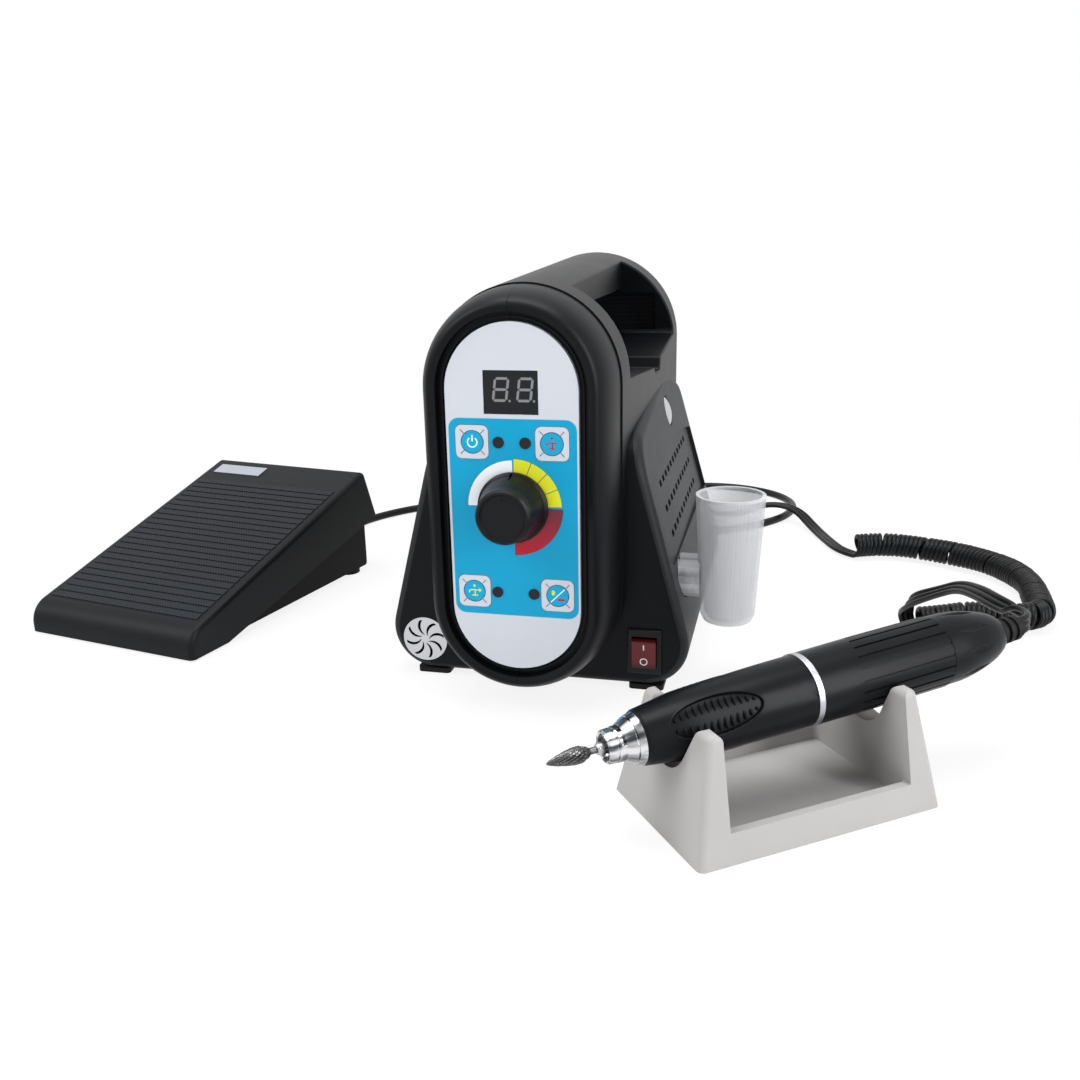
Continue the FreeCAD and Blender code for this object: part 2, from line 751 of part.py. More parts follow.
def side_covers(parts):
    """The vented covers on the sloped sides, each with its rounded rim."""
    skin = base_outer().cut(cover_zone())
    skin = skin.cut(stadium_prism(NOSE_R, -40, 1))
    skin = skin.cut(loaf(0))
    right = skin.common(box(0, 200, -50, 250, -5, 200))
    seat = cyl(CAP_D / 2 + FIT, CAP_SEAT + 2, V(CAP_Y, slope_v(CAP_Z), -CAP_SEAT), Z_DIR)
    hole = cyl(SCREW_D / 2 + 0.3, 12, V(CAP_Y, slope_v(CAP_Z), -9), Z_DIR)
    cuts = [placed(s, side_placement()) for s in (vent_recess(), vent_slots(), seat, hole)]
    right_cuts = cuts + [cyl(SPIGOT_R + FIT, THROUGH, V(side_x(BOSS_Z) - THROUGH / 2, CUP_Y, BOSS_Z), X_DIR)]
    right_cuts.append(cyl(BOSS_R + GAP, THROUGH, V(side_x(BOSS_Z) - BOSS_SEAT, CUP_Y, BOSS_Z), X_DIR))
    parts["side_cover_right"] = solids(right.cut(Part.makeCompound(right_cuts)))
    left = mirrored(right.cut(Part.makeCompound(cuts)))
    parts["side_cover_left"] = solids(left.cut(disc_seat()))
    v = slope_v(CAP_Z)
    rim = CAP_D / 2
    dome_z = -CAP_SEAT + 0.8
    sphere_r = (rim * rim + CAP_DOME * CAP_DOME) / (2 * CAP_DOME)
    dome = Part.makeSphere(sphere_r, V(CAP_Y, v, dome_z + CAP_DOME - sphere_r))
    dome = dome.common(cyl(rim, CAP_DOME + 2, V(CAP_Y, v, dome_z), Z_DIR))
    cap = dome.fuse(cyl(rim, 0.8, V(CAP_Y, v, -CAP_SEAT), Z_DIR)).removeSplitter()
    head = cyl(SCREW_D / 2 - FIT, 9, V(CAP_Y, v, -CAP_SEAT - 9), Z_DIR)
    cap = placed(cap, side_placement())
    head = placed(head, side_placement())
    parts["cover_caps"] = [cap, mirrored(cap)]
    parts["cover_screws"] = [head, mirrored(head)]


def control_panel(parts):
    """The front panel with its window, lamps, keys, knob and the boards behind."""
    front = PANEL_FRONT
    panel = stadium_prism(PANEL_R, front, FLOOR_Y)
    cuts = [box(-WINDOW_W / 2, WINDOW_W / 2, front - 1, FLOOR_Y + 1, WINDOW_Z0, WINDOW_Z1)]
    cuts.append(cyl(SHAFT_R + 0.5, PANEL_T + 2, V(0, front - 1, KNOB_Z), Y_DIR))
    for x, z in key_places():
        half = KEY_W / 2 + FIT
        corners = [V(x - half, front - 1, z - half), V(x + half, front - 1, z - half),
                   V(x + half, front - 1, z + half), V(x - half, front - 1, z + half)]
        cuts.append(prism(rounded(corners, [KEY_R + FIT] * 4), V(0, 1 + PANEL_T - 0.8, 0)))
        cuts.append(cyl(KEY_W / 2 - 2, PANEL_T + 2, V(x, front - 1, z), Y_DIR))
    for x, z in led_places():
        cuts.append(cyl(LED_R + FIT, PANEL_T + 2, V(x, front - 1, z), Y_DIR))
    parts["fascia_panel"] = solids(panel.cut(Part.makeCompound(cuts)))

    half = WINDOW_W / 2 - FIT
    window = box(-half, half, front, front + WINDOW_T, WINDOW_Z0 + FIT, WINDOW_Z1 - FIT)
    parts["display_window"] = [window]
    digits = []
    for x in (-WINDOW_W / 4, WINDOW_W / 4):
        w = WINDOW_W / 4 - 0.6
        digits.append(box(x - w, x + w, front + WINDOW_T, board_front(), WINDOW_Z0 + 1.5, WINDOW_Z1 - 1.5))
    parts["display_digits"] = digits

    lenses = []
    for x, z in led_places():
        lenses.append(cyl(LED_R, board_front() - front + LED_PROUD, V(x, front - LED_PROUD, z), Y_DIR))
    parts["indicator_lamps"] = lenses

    names = ["power_key", "standby_key", "direction_key", "hand_foot_key"]
    switches = []
    for name, (x, z) in zip(names, key_places()):
        half = KEY_W / 2 - FIT
        y0 = front - KEY_PROUD
        corners = [V(x - half, y0, z - half), V(x + half, y0, z - half),
                   V(x + half, y0, z + half), V(x - half, y0, z + half)]
        pad = prism(rounded(corners, [KEY_R] * 4), V(0, 1.6, 0))
        stem_end = board_front() - 2.2 - KEY_TRAVEL - 0.1
        stem = cyl(2.2, stem_end - y0, V(x, y0, z), Y_DIR)
        parts[name] = solids(pad.fuse(stem).removeSplitter())
        w = SWITCH_W / 2
        switches.append(box(x - w, x + w, board_front() - 2.2, board_front(), z - w, z + w))
    parts["key_switches"] = switches

    board_r = PANEL_R + 1.5
    board = stadium_prism(board_r, board_front(), board_front() + BOARD_T)
    board = board.cut(cyl(SHAFT_R + 0.5, 20, V(0, board_front() - 5, KNOB_Z), Y_DIR))
    posts = []
    for z in (NOSE_LOW - 12, NOSE_HIGH + 22):
        posts.append(cyl(3.0, BOARD_GAP, V(0, FLOOR_Y + WALL, z), Y_DIR))
    parts["panel_board"] = solids(board)
    parts["board_spacers"] = posts

    back = board_front() + BOARD_T
    pot = ring(POT_R, SHAFT_R + FIT, POT_H, V(0, back, KNOB_Z), Y_DIR)
    parts["speed_potentiometer"] = solids(pot)
    knob_back = front - KNOB_LIFT
    profile = [V(0, knob_back, 0), V(KNOB_SKIRT_R, knob_back, 0), V(KNOB_SKIRT_R, knob_back - 1.6, 0),
               V(KNOB_SKIRT_R - 1.0, knob_back - 2.4, 0), V(KNOB_SKIRT_R - 2.2, knob_back - 8.0, 0),
               V(KNOB_FACE_R + 1.2, knob_back - 13.0, 0), V(KNOB_FACE_R + 0.9, knob_back - KNOB_H + 1.0, 0),
               V(KNOB_FACE_R, knob_back - KNOB_H, 0), V(KNOB_FACE_R - 1.0, knob_back - KNOB_H, 0),
               V(KNOB_FACE_R - 1.4, knob_back - KNOB_H + 0.7, 0), V(0, knob_back - KNOB_H + 0.4, 0)]
    knob = turned(profile, V(0, 0, 0), Y_DIR)
    knob.translate(V(0, 0, KNOB_Z))
    dimple = Part.makeSphere(1.0, V(0, knob_back - KNOB_H + 0.2, KNOB_Z + KNOB_FACE_R - 3.6))
    skirt_z = KNOB_Z + KNOB_SKIRT_R
    mark = box(-0.5, 0.5, knob_back - 9, knob_back - 1, skirt_z - 2, skirt_z + 1)
    knob = knob.cut(dimple).cut(mark)
    shaft = cyl(SHAFT_R, back + POT_H - knob_back, V(0, knob_back, KNOB_Z), Y_DIR)
    parts["speed_knob"] = solids(knob)
    parts["knob_shaft"] = solids(shaft)


def board_front():
    """Where the board behind the panel starts."""
    return FLOOR_Y + WALL + BOARD_GAP


def power_switch(parts):
    """The snap-in rocker: a frame with its body, and the red paddle that tips in it."""
    w, h = ROCKER_W / 2, ROCKER_H / 2
    frame = box(ROCKER_X - w, ROCKER_X + w, -ROCKER_T, 0, ROCKER_Z - h, ROCKER_Z + h)
    frame = filleted(frame, 0.8, lambda e: e.BoundBox.YMax < -ROCKER_T + 0.01)
    body_w, body_h = w - 1.1, h - 1.1
    body = box(ROCKER_X - body_w, ROCKER_X + body_w, 0, ROCKER_BODY, ROCKER_Z - body_h, ROCKER_Z + body_h)
    cavity_w, cavity_h = PADDLE_W / 2 + GAP, PADDLE_H / 2 + GAP
    cavity = box(ROCKER_X - cavity_w, ROCKER_X + cavity_w, -ROCKER_T - 1, 7.5,
                 ROCKER_Z - cavity_h, ROCKER_Z + cavity_h)
    blades = [box(ROCKER_X - 2.4, ROCKER_X + 2.4, ROCKER_BODY, ROCKER_BODY + 6.5, z - 0.4, z + 0.4)
              for z in (ROCKER_Z - 4, ROCKER_Z + 4)]
    pivot_y = ROCKER_PIVOT_Y
    bearing = cyl(TRUNNION_R + FIT, ROCKER_W, V(ROCKER_X - ROCKER_W / 2, pivot_y, ROCKER_Z), X_DIR)
    parts["rocker_frame"] = solids(fuse([frame, body] + blades).cut([cavity, bearing]))
    # The paddle is a V in section, turned about an axis inside the body, and rests tipped to one side.
    reach = PADDLE_H / 2
    crest = pivot_y + ROCKER_T + 1.6
    swing = math.radians(PADDLE_SWING / 2)
    drop = reach * math.tan(swing)
    points = [V(0, -crest, 0), V(0, -crest + 0.2 - drop, reach - 0.4), V(0, -1.0, reach - 0.6),
              V(0, 2.4, 3.0), V(0, 2.4, -3.0), V(0, -1.0, -reach + 0.6),
              V(0, -crest + 0.2 - drop, -reach + 0.4)]
    paddle = prism(polygon(points), V(PADDLE_W, 0, 0))
    paddle.translate(V(ROCKER_X - PADDLE_W / 2, pivot_y, ROCKER_Z))
    paddle.rotate(V(ROCKER_X, pivot_y, ROCKER_Z), X_DIR, PADDLE_SWING / 2)
    trunnion_l = PADDLE_W + 2 * TRUNNION_OUT
    trunnion = cyl(TRUNNION_R, trunnion_l, V(ROCKER_X - trunnion_l / 2, pivot_y, ROCKER_Z), X_DIR)
    parts["power_rocker"] = solids(paddle.fuse(trunnion).removeSplitter())


def vent_disc(parts):
    """The bright disc with curved vanes in the lower left of the sloped front."""
    y0 = DISC_SEAT - DISC_T
    disc = cyl(DISC_D / 2, DISC_T, V(DISC_X, y0, DISC_Z), Y_DIR)
    outer = DISC_D / 2 - 1.4
    slots = []
    for i in range(DISC_VANES):
        turn = 360.0 * i / DISC_VANES
        a = Part.Arc(V(2.0, y0 - 1, 0), V(outer * 0.55, y0 - 1, 2.0), V(outer, y0 - 1, 1.0)).toShape()
        b = Part.LineSegment(V(outer, y0 - 1, 1.0), V(outer - 0.2, y0 - 1, 2.4)).toShape()
        back = V(outer * 0.53, y0 - 1, 3.2)
        c = Part.Arc(V(outer - 0.2, y0 - 1, 2.4), back, V(2.0, y0 - 1, 0.5)).toShape()
        d = Part.LineSegment(V(2.0, y0 - 1, 0.5), V(2.0, y0 - 1, 0)).toShape()
        slot = prism(Part.Wire([a, b, c, d]), V(0, DISC_T + 2, 0))
        slot.rotate(V(0, 0, 0), Y_DIR, turn)
        slots.append(slot)
    cut = Part.makeCompound(slots)
    cut.translate(V(DISC_X, 0, DISC_Z))
    parts["vent_disc"] = solids(disc.cut(cut))


def rear_sockets(parts):
    """Mains inlet, handpiece socket and pedal socket in the bay at the back."""
    w, h = INLET_W / 2, INLET_H / 2
    flange = box(-w, w, BAY_Y, BAY_Y + 2, SOCKET_Z - h, SOCKET_Z + h)
    body = box(-w + 2.1, w - 2.1, BAY_Y - 16, BAY_Y, SOCKET_Z - h + 1.6, SOCKET_Z + h - 1.6)
    recess = box(-w + 3.4, w - 3.4, BAY_Y - 13, BAY_Y + 3, SOCKET_Z - h + 2.9, SOCKET_Z + h - 2.9)
    pins = [box(x - 1, x + 1, BAY_Y - 13, BAY_Y - 1, SOCKET_Z + z - 2, SOCKET_Z + z + 2)
            for x, z in ((-7, -1.2), (0, 1.8), (7, -1.2))]
    parts["mains_inlet"] = solids(fuse([flange, body]).cut(recess).fuse(pins).removeSplitter())
    for name, x, radius, bore, depth in (
            ("motor_socket", MOTOR_SOCKET_X, MOTOR_SOCKET_R, MOTOR_PLUG_R + FIT, 12.0),
            ("pedal_socket", PEDAL_SOCKET_X, PEDAL_SOCKET_R, PEDAL_PLUG_R + FIT, 10.0)):
        collar = cyl(radius, COLLAR_T, V(x, BAY_Y, SOCKET_Z), Y_DIR)
        barrel = cyl(radius - 1.6, depth + 2, V(x, BAY_Y - depth - 2, SOCKET_Z), Y_DIR)
        hole = cyl(bore, depth + 3, V(x, BAY_Y - depth, SOCKET_Z), Y_DIR)
        parts[name] = solids(collar.fuse(barrel).cut(hole).removeSplitter())


def unit_inside(parts):
    """Transformer and supply board on the floor of the housing, and the feet below it."""
    floor = BASE_BOTTOM + WALL
    w, l, h = TRANSFORMER
    y = TRANSFORMER_Y
    core = box(-w / 2, w / 2, y, y + l, floor, floor + h * 0.6)
    coil = box(-w / 2 + WINDING_INSET, w / 2 - WINDING_INSET, y - WINDING_OVER, y + l + WINDING_OVER,
               floor + PILLAR_H, floor + h)
    parts["transformer"] = solids(core.fuse(coil).removeSplitter())
    bw, bl = SUPPLY_BOARD
    board = box(-bw / 2, bw / 2, BOARD_Y, BOARD_Y + bl, floor + PILLAR_H, floor + PILLAR_H + BOARD_T)
    pillars = [cyl(PILLAR_R, PILLAR_H, V(x, y, floor), Z_DIR)
               for x in (-bw / 2 + PILLAR_IN, bw / 2 - PILLAR_IN)
               for y in (BOARD_Y + PILLAR_IN, BOARD_Y + bl - PILLAR_IN)]
    parts["supply_board"] = solids(fuse([board] + pillars))
    feet = []
    for side in (-1, 1):
        for y in (UNIT_FOOT_Y0, UNIT_FOOT_Y1):
            x = UNIT_FOOT_X if side > 0 else -UNIT_FOOT_X - UNIT_FOOT_W
            foot = box(x, x + UNIT_FOOT_W, y, y + UNIT_FOOT_L, 0, BASE_BOTTOM)
            feet += solids(filleted(foot, FOOT_CORNER, lambda e: e.BoundBox.ZLength > BASE_BOTTOM / 2))
    parts["unit_feet"] = feet


def bur_cup(parts):
    """The frosted cup for spare burs, with the fluted boss that plugs into the side cover."""
    slope = (CUP_RIM_R - CUP_BASE_R) / (CUP_HIGH - CUP_LOW)
    outer = [V(0, 0, CUP_LOW), V(CUP_BASE_R - CUP_ROUND, 0, CUP_LOW),
             V(CUP_BASE_R - 0.3 * CUP_ROUND + slope, 0, CUP_LOW + 0.3 * CUP_ROUND),
             V(CUP_BASE_R + slope * CUP_ROUND, 0, CUP_LOW + CUP_ROUND),
             V(CUP_RIM_R, 0, CUP_HIGH), V(CUP_RIM_R - CUP_WALL, 0, CUP_HIGH),
             V(CUP_BASE_R - CUP_WALL + slope * CUP_ROUND, 0, CUP_LOW + CUP_ROUND + CUP_WALL),
             V(CUP_BASE_R - CUP_WALL - CUP_ROUND * 0.6, 0, CUP_LOW + CUP_WALL + 0.4),
             V(0, 0, CUP_LOW + CUP_WALL + 0.4)]
    cup = turned(outer, V(0, 0, 0), Z_DIR)
    cup.translate(V(CUP_X, CUP_Y, 0))
    face = side_x(BOSS_Z) - BOSS_SEAT
    inner_wall = CUP_X - CUP_BASE_R - slope * (BOSS_Z - CUP_LOW) + CUP_WALL * 0.5
    core = cyl(BOSS_R - 2.0, inner_wall - face, V(face, CUP_Y, BOSS_Z), X_DIR)
    lobes = []
    for i in range(BOSS_LOBES):
        angle = 2 * math.pi * (i + 0.5) / BOSS_LOBES
        centre = V(face, CUP_Y + (BOSS_R - 2.6) * math.cos(angle), BOSS_Z + (BOSS_R - 2.6) * math.sin(angle))
        lobes.append(cyl(2.6, inner_wall - face, centre, X_DIR))
    boss = fuse([core] + lobes)
    spigot = cyl(SPIGOT_R, SPIGOT_L + 4, V(face - SPIGOT_L, CUP_Y, BOSS_Z), X_DIR)
    hollow = Part.makeCone(CUP_BASE_R - CUP_WALL + slope * CUP_ROUND, CUP_RIM_R - CUP_WALL,
                           CUP_HIGH - CUP_LOW - CUP_ROUND - CUP_WALL,
                           V(CUP_X, CUP_Y, CUP_LOW + CUP_ROUND + CUP_WALL), Z_DIR)
    parts["bur_cup"] = solids(fuse([cup, boss, spigot]).cut(hollow))


# Foot pedal
def pedal_placement():
    """Where the pedal stands on the table."""
    return FreeCAD.Placement(V(PEDAL_AT[0], PEDAL_AT[1], 0), FreeCAD.Rotation(Z_DIR, PEDAL_TURN))


def pedal_outline(inset, low):
    """Side outline of the pedal's cover."""
    drop = inset / math.cos(tread_angle())
    front_z = pedal_top_z(inset) - drop
    crest_y = PEDAL_TOP_Y - inset * 0.8
    points = [V(0, inset, low), V(0, inset, front_z), V(0, crest_y, pedal_top_z(crest_y) - drop),
              V(0, PEDAL_HEEL_Y - inset, PEDAL_HEEL_Z), V(0, PEDAL_HEEL_Y - inset, low)]
    return rounded(points, [0, PEDAL_ROLL - inset, max(PEDAL_CREST - inset, 0), 0, 0])


def tread_angle():
    """How steeply the tread rises, in radians."""
    return math.atan2(PEDAL_TOP_Z - PEDAL_FRONT_Z, PEDAL_TOP_Y)


def pedal_top_z(y):
    """Height of the sloping tread at one depth."""
    return PEDAL_FRONT_Z + y * math.tan(tread_angle())


def tread_placement():
    """From tread coordinates (across, up the slope from the mat's edge, outward) to the pedal."""
    turn = FreeCAD.Rotation(X_DIR, math.degrees(tread_angle()))
    return FreeCAD.Placement(V(0, MAT_Y0, pedal_top_z(MAT_Y0)), turn)


def pedal_parts(parts):
    """Base, cover, tread mat, plate, pin, spring, sensor and feet of the foot pedal."""
    at = pedal_placement()
    tread = tread_placement()
    made = {}
    cover = prism(pedal_outline(0, 0), V(PEDAL_W, 0, 0))
    cover = filleted(cover, 3.0, lambda e: e.BoundBox.XLength < 1e-3 and e.BoundBox.ZMin > 0.5)
    hollow = prism(pedal_outline(PEDAL_T, -5), V(PEDAL_W - 2 * PEDAL_T, 0, 0))
    hollow.translate(V(PEDAL_T, 0, 0))
    below = prism(polygon([V(-5, -5, -20), V(-5, -5, SKIRT_Z), V(-5, SKIRT_Y, SKIRT_Z),
                           V(-5, PEDAL_HEEL_Y, PEDAL_HEEL_Z), V(-5, PEDAL_HEEL_Y + 20, PEDAL_HEEL_Z + 4),
                           V(-5, PEDAL_HEEL_Y + 20, -20)]), V(PEDAL_W + 10, 0, 0))
    mat_x1 = PEDAL_W - MAT_X0
    recess = placed(box(MAT_X0 - FIT, mat_x1 + FIT, -FIT, MAT_L + FIT, -MAT_T, 5), tread)
    label_y = MAT_L + LABEL_GAP
    label = placed(box(LABEL_X, LABEL_X + LABEL_W, label_y, label_y + LABEL_L, 0, LABEL_T), tread)
    lug_x = PEDAL_T + SLIDE_GAP + PEDAL_BASE_WALL + SLIDE_GAP
    lugs = []
    for x0 in (lug_x, PEDAL_W - lug_x - LUG_T):
        lug = cyl(PEDAL_LUG_R, LUG_T, V(x0, PEDAL_PIVOT_Y, PEDAL_PIVOT_Z), X_DIR)
        web = box(x0, x0 + LUG_T, PEDAL_PIVOT_Y - LUG_WEB / 2, PEDAL_PIVOT_Y + LUG_WEB / 2, PEDAL_PIVOT_Z,
                  pedal_top_z(PEDAL_PIVOT_Y) - PEDAL_T + 0.5)
        lugs += [lug, web]
    post_z = pedal_top_z(SPRING_Y)
    under_mat = PEDAL_T * 0.8
    post_top = pedal_top_z(SPRING_Y - POST_R) - under_mat
    seat = cyl(POST_R, post_top - post_z + 10, V(PEDAL_W / 2, SPRING_Y, post_z - 10), Z_DIR)
    cam = box(PEDAL_W / 2 + CAM_X, PEDAL_W / 2 + CAM_X + CAM_T, SENSOR_Y - CAM_W / 2, SENSOR_Y + CAM_W / 2,
              post_z - 28, pedal_top_z(SENSOR_Y - CAM_W / 2) - under_mat)
    body = cover.cut(hollow).cut(below).cut(recess)
    body = body.fuse(lugs + [seat, cam]).removeSplitter()
    bore_x = lug_x - 1
    bore_at = V(bore_x, PEDAL_PIVOT_Y, PEDAL_PIVOT_Z)
    body = body.cut(cyl(PEDAL_PIN_R + PIN_FIT, PEDAL_W - 2 * bore_x, bore_at, X_DIR))
    outside = prism(pedal_outline(0, 0), V(PEDAL_W, 0, 0))
    made["pedal_cover"] = solids(body.common(outside))

    mat = placed(box(MAT_X0, mat_x1, 0, MAT_L, -MAT_T, 0), tread)
    ribs = []
    pitch = MAT_L / MAT_RIBS
    for i in range(MAT_RIBS):
        y = pitch * (i + 0.5)
        ribs.append(placed(box(MAT_X0 + 0.4, mat_x1 - 0.4, y - MAT_RIB_W / 2, y + MAT_RIB_W / 2,
                               -0.2, MAT_RIB_H - MAT_T), tread))
    made["tread_mat"] = solids(fuse([mat] + ribs))
    made["pedal_plate"] = [label]

    base_x = PEDAL_T + BASE_SIDE_GAP
    wall = PEDAL_BASE_WALL
    slope = [V(0, PEDAL_BASE_Y0, PEDAL_BASE_Z), V(0, PEDAL_BASE_Y0, PEDAL_BASE_FRONT_Z),
             V(0, PEDAL_BASE_Y1, PEDAL_BASE_REAR_Z), V(0, PEDAL_BASE_Y1, PEDAL_BASE_Z)]
    tub = prism(rounded(slope, [1, 1, 2, 2]), V(PEDAL_W - 2 * base_x, 0, 0))
    tub.translate(V(base_x, 0, 0))
    inner = box(base_x + wall, PEDAL_W - base_x - wall, PEDAL_BASE_Y0 + wall, PEDAL_BASE_Y1 - wall,
                PEDAL_BASE_Z + wall, 80)
    pin_hole = cyl(PEDAL_PIN_R + PIN_FIT, PEDAL_W, V(0, PEDAL_PIVOT_Y, PEDAL_PIVOT_Z), X_DIR)
    floor_z = PEDAL_BASE_Z + wall
    lug_x = base_x + wall + SLIDE_GAP
    lug_room = [cyl(PEDAL_LUG_R + SLIDE_GAP, LUG_T + SLIDE_GAP, V(x0, PEDAL_PIVOT_Y, PEDAL_PIVOT_Z), X_DIR)
                for x0 in (lug_x - SLIDE_GAP / 2 + 0.2, PEDAL_W - lug_x - LUG_T - SLIDE_GAP / 2 - 0.2)]
    spring_post = cyl(POST_R, 6, V(PEDAL_W / 2, SPRING_Y, floor_z - 1), Z_DIR)
    gland_hole = cyl(CORD_D / 2 + GLAND_WALL, 20, V(GLAND_X, PEDAL_BASE_Y1 - 10, GLAND_Z), Y_DIR)
    tub = tub.cut([inner, pin_hole] + lug_room).fuse(spring_post).cut(gland_hole)
    made["pedal_base"] = solids(tub)

    pin = cyl(PEDAL_PIN_R, PEDAL_W - 2 * base_x - 0.4, V(base_x + 0.2, PEDAL_PIVOT_Y, PEDAL_PIVOT_Z), X_DIR)
    made["pedal_pin"] = [pin]
    made["pedal_spring"] = [pedal_spring(floor_z)]
    sensor_w, sensor_l, sensor_h = SENSOR_SIZE
    sx = PEDAL_W / 2 + SENSOR_X
    sensor = Part.makeBox(sensor_w, sensor_l, sensor_h, V(sx, SENSOR_Y - sensor_l / 2, floor_z))
    made["pedal_sensor"] = [sensor]
    feet = []
    for x in (base_x + PEDAL_FOOT_R + 1, PEDAL_W - base_x - PEDAL_FOOT_R - 1):
        for y in (PEDAL_BASE_Y0 + 24, PEDAL_BASE_Y1 - PEDAL_FOOT_R - 2):
            feet.append(cyl(PEDAL_FOOT_R, PEDAL_BASE_Z, V(x, y, 0), Z_DIR))
    made["pedal_feet"] = feet
    gland_r = CORD_D / 2 + GLAND_WALL - 0.02
    inner_end = PEDAL_BASE_Y1 - PEDAL_BASE_WALL - 3
    gland = cyl(gland_r, PEDAL_BASE_WALL + 3, V(GLAND_X, inner_end, GLAND_Z), Y_DIR)
    nose = Part.makeCone(gland_r, CORD_D / 2 + 0.5, GLAND_L, V(GLAND_X, PEDAL_BASE_Y1, GLAND_Z), Y_DIR)
    made["pedal_gland"] = solids(gland.fuse(nose).removeSplitter())
    for name, bodies in made.items():
        parts[name] = [placed(s, at) for s in bodies]


def helix_wire(centre, radius, pitch, turns, start):
    """The arcs of a wire that rises round an upright axis, two for each half turn."""
    steps = int(turns * 2)

    def at(i):
        angle = math.pi * i + start
        rise = pitch * i / 2
        point = centre + V(radius * math.cos(angle), radius * math.sin(angle), rise)
        tangent = V(-radius * math.sin(angle), radius * math.cos(angle), pitch / (2 * math.pi)).normalize()
        return point, tangent

    edges = []
    for i in range(steps):
        edges += biarc(*at(i), *at(i + 1))
    return edges


def arc_of(p, q, r):
    """The arc from p to r that is tangent to p-q and q-r, whose two legs are as long as each other."""
    leg = (q - p).Length
    chord = (p + r) * 0.5
    half = (r - p).Length / 2
    height = (q - chord).Length
    if height < 1e-7:
        return Part.LineSegment(p, r).toShape()
    middle = chord + (q - chord) * (half * (leg - half) / (height * height))
    return Part.Arc(p, middle, r).toShape()


def biarc(p0, t0, p1, t1):
    """Two arcs that join two points with given directions."""
    chord = p1 - p0
    both = t0 + t1
    dot = chord.dot(both)
    spread = 2 * (1 - t0.dot(t1))
    if spread < 1e-9:
        leg = chord.dot(chord) / (2 * dot)
    else:
        leg = (-dot + math.sqrt(dot * dot + spread * chord.dot(chord))) / spread
    q0 = p0 + t0 * leg
    q1 = p1 - t1 * leg
    joint = (q0 + q1) * 0.5
    return [arc_of(p0, q0, joint), arc_of(joint, q1, p1)]


def pipe(edges, radius):
    """A round wire along a path of lines and arcs."""
    wire = Part.Wire(edges)
    start = edges[0].valueAt(edges[0].FirstParameter)
    tangent = edges[0].tangentAt(edges[0].FirstParameter)
    section = Part.Wire([Part.Circle(start, tangent, radius).toShape()])
    shell = Part.BRepOffsetAPI.MakePipeShell(wire)
    shell.add(section)
    shell.build()
    shell.makeSolid()
    return shell.shape()


def pedal_spring(floor_z):
    """The return spring, between the post on the floor and the post under the tread."""
    low = floor_z + SPRING_WIRE / 2 + 0.3
    top = pedal_top_z(SPRING_Y) - PEDAL_T - SPRING_WIRE / 2 - 2.6
    pitch = (top - low) / SPRING_TURNS
    edges = helix_wire(V(PEDAL_W / 2, SPRING_Y, low), SPRING_R - SPRING_WIRE / 2, pitch, SPRING_TURNS, 0)
    return pipe(edges, SPRING_WIRE / 2)


# Handpiece stand
def stand_placement():
    """Where the stand stands on the table."""
    return FreeCAD.Placement(V(STAND_AT[0], STAND_AT[1], 0), FreeCAD.Rotation(Z_DIR, STAND_TURN))


def notch_centre_z():
    """Centre of the notch's round bottom."""
    return NOTCH_BOTTOM + NOTCH_R


def stand(parts):
    """The moulded stand: a shallow tray with two notched end walls."""
    def frame_wire(z):
        ex = END_LEAN * z / HORN_H
        fy = FLANK_LEAN * z / HORN_H
        return polygon([V(ex, fy, z), V(STAND_L - ex, fy, z),
                        V(STAND_L - ex, STAND_W - fy, z), V(ex, STAND_W - fy, z)])

    block = Part.makeLoft([frame_wire(0), frame_wire(HORN_H)], True, True)
    middle = STAND_W / 2
    flank_in = FLANK_LEAN * FLANK_H / HORN_H + FLANK_WALL
    pocket = box(END_WALL, STAND_L - END_WALL, flank_in, STAND_W - flank_in, FLOOR_T, HORN_H + 5)
    pocket = filleted(pocket, 2.0, lambda e: e.BoundBox.ZLength > HORN_H)
    above = box(END_WALL, STAND_L - END_WALL, -5, STAND_W + 5, FLANK_H, HORN_H + 5)
    flare = math.radians(NOTCH_FLARE)
    zc = notch_centre_z()
    tx, tz = NOTCH_R * math.cos(flare), zc - NOTCH_R * math.sin(flare)
    top = HORN_H + 8
    wide = tx + (top - tz) * math.tan(flare)
    edges = [
        Part.Arc(V(-5, middle - tx, tz), V(-5, middle, zc - NOTCH_R), V(-5, middle + tx, tz)).toShape(),
        Part.LineSegment(V(-5, middle + tx, tz), V(-5, middle + wide, top)).toShape(),
        Part.LineSegment(V(-5, middle + wide, top), V(-5, middle - wide, top)).toShape(),
        Part.LineSegment(V(-5, middle - wide, top), V(-5, middle - tx, tz)).toShape(),
    ]
    notch = prism(Part.Wire(edges), V(STAND_L + 10, 0, 0))
    body = block.cut(pocket).cut(above).cut(notch)

    def outer_edge(edge):
        bounds = edge.BoundBox
        return bounds.ZMin > HORN_H - FIT or bounds.ZLength > HORN_H - FIT

    body = filleted(body, HORN_ROUND, outer_edge)
    parts["handpiece_stand"] = [placed(s, stand_placement()) for s in solids(body)]


# Handpiece
def rest_height(radius):
    """Height of the handpiece's axis where a sleeve of this radius lies in a notch."""
    return notch_centre_z() + (radius + GAP - NOTCH_R) / math.sin(math.radians(NOTCH_FLARE))


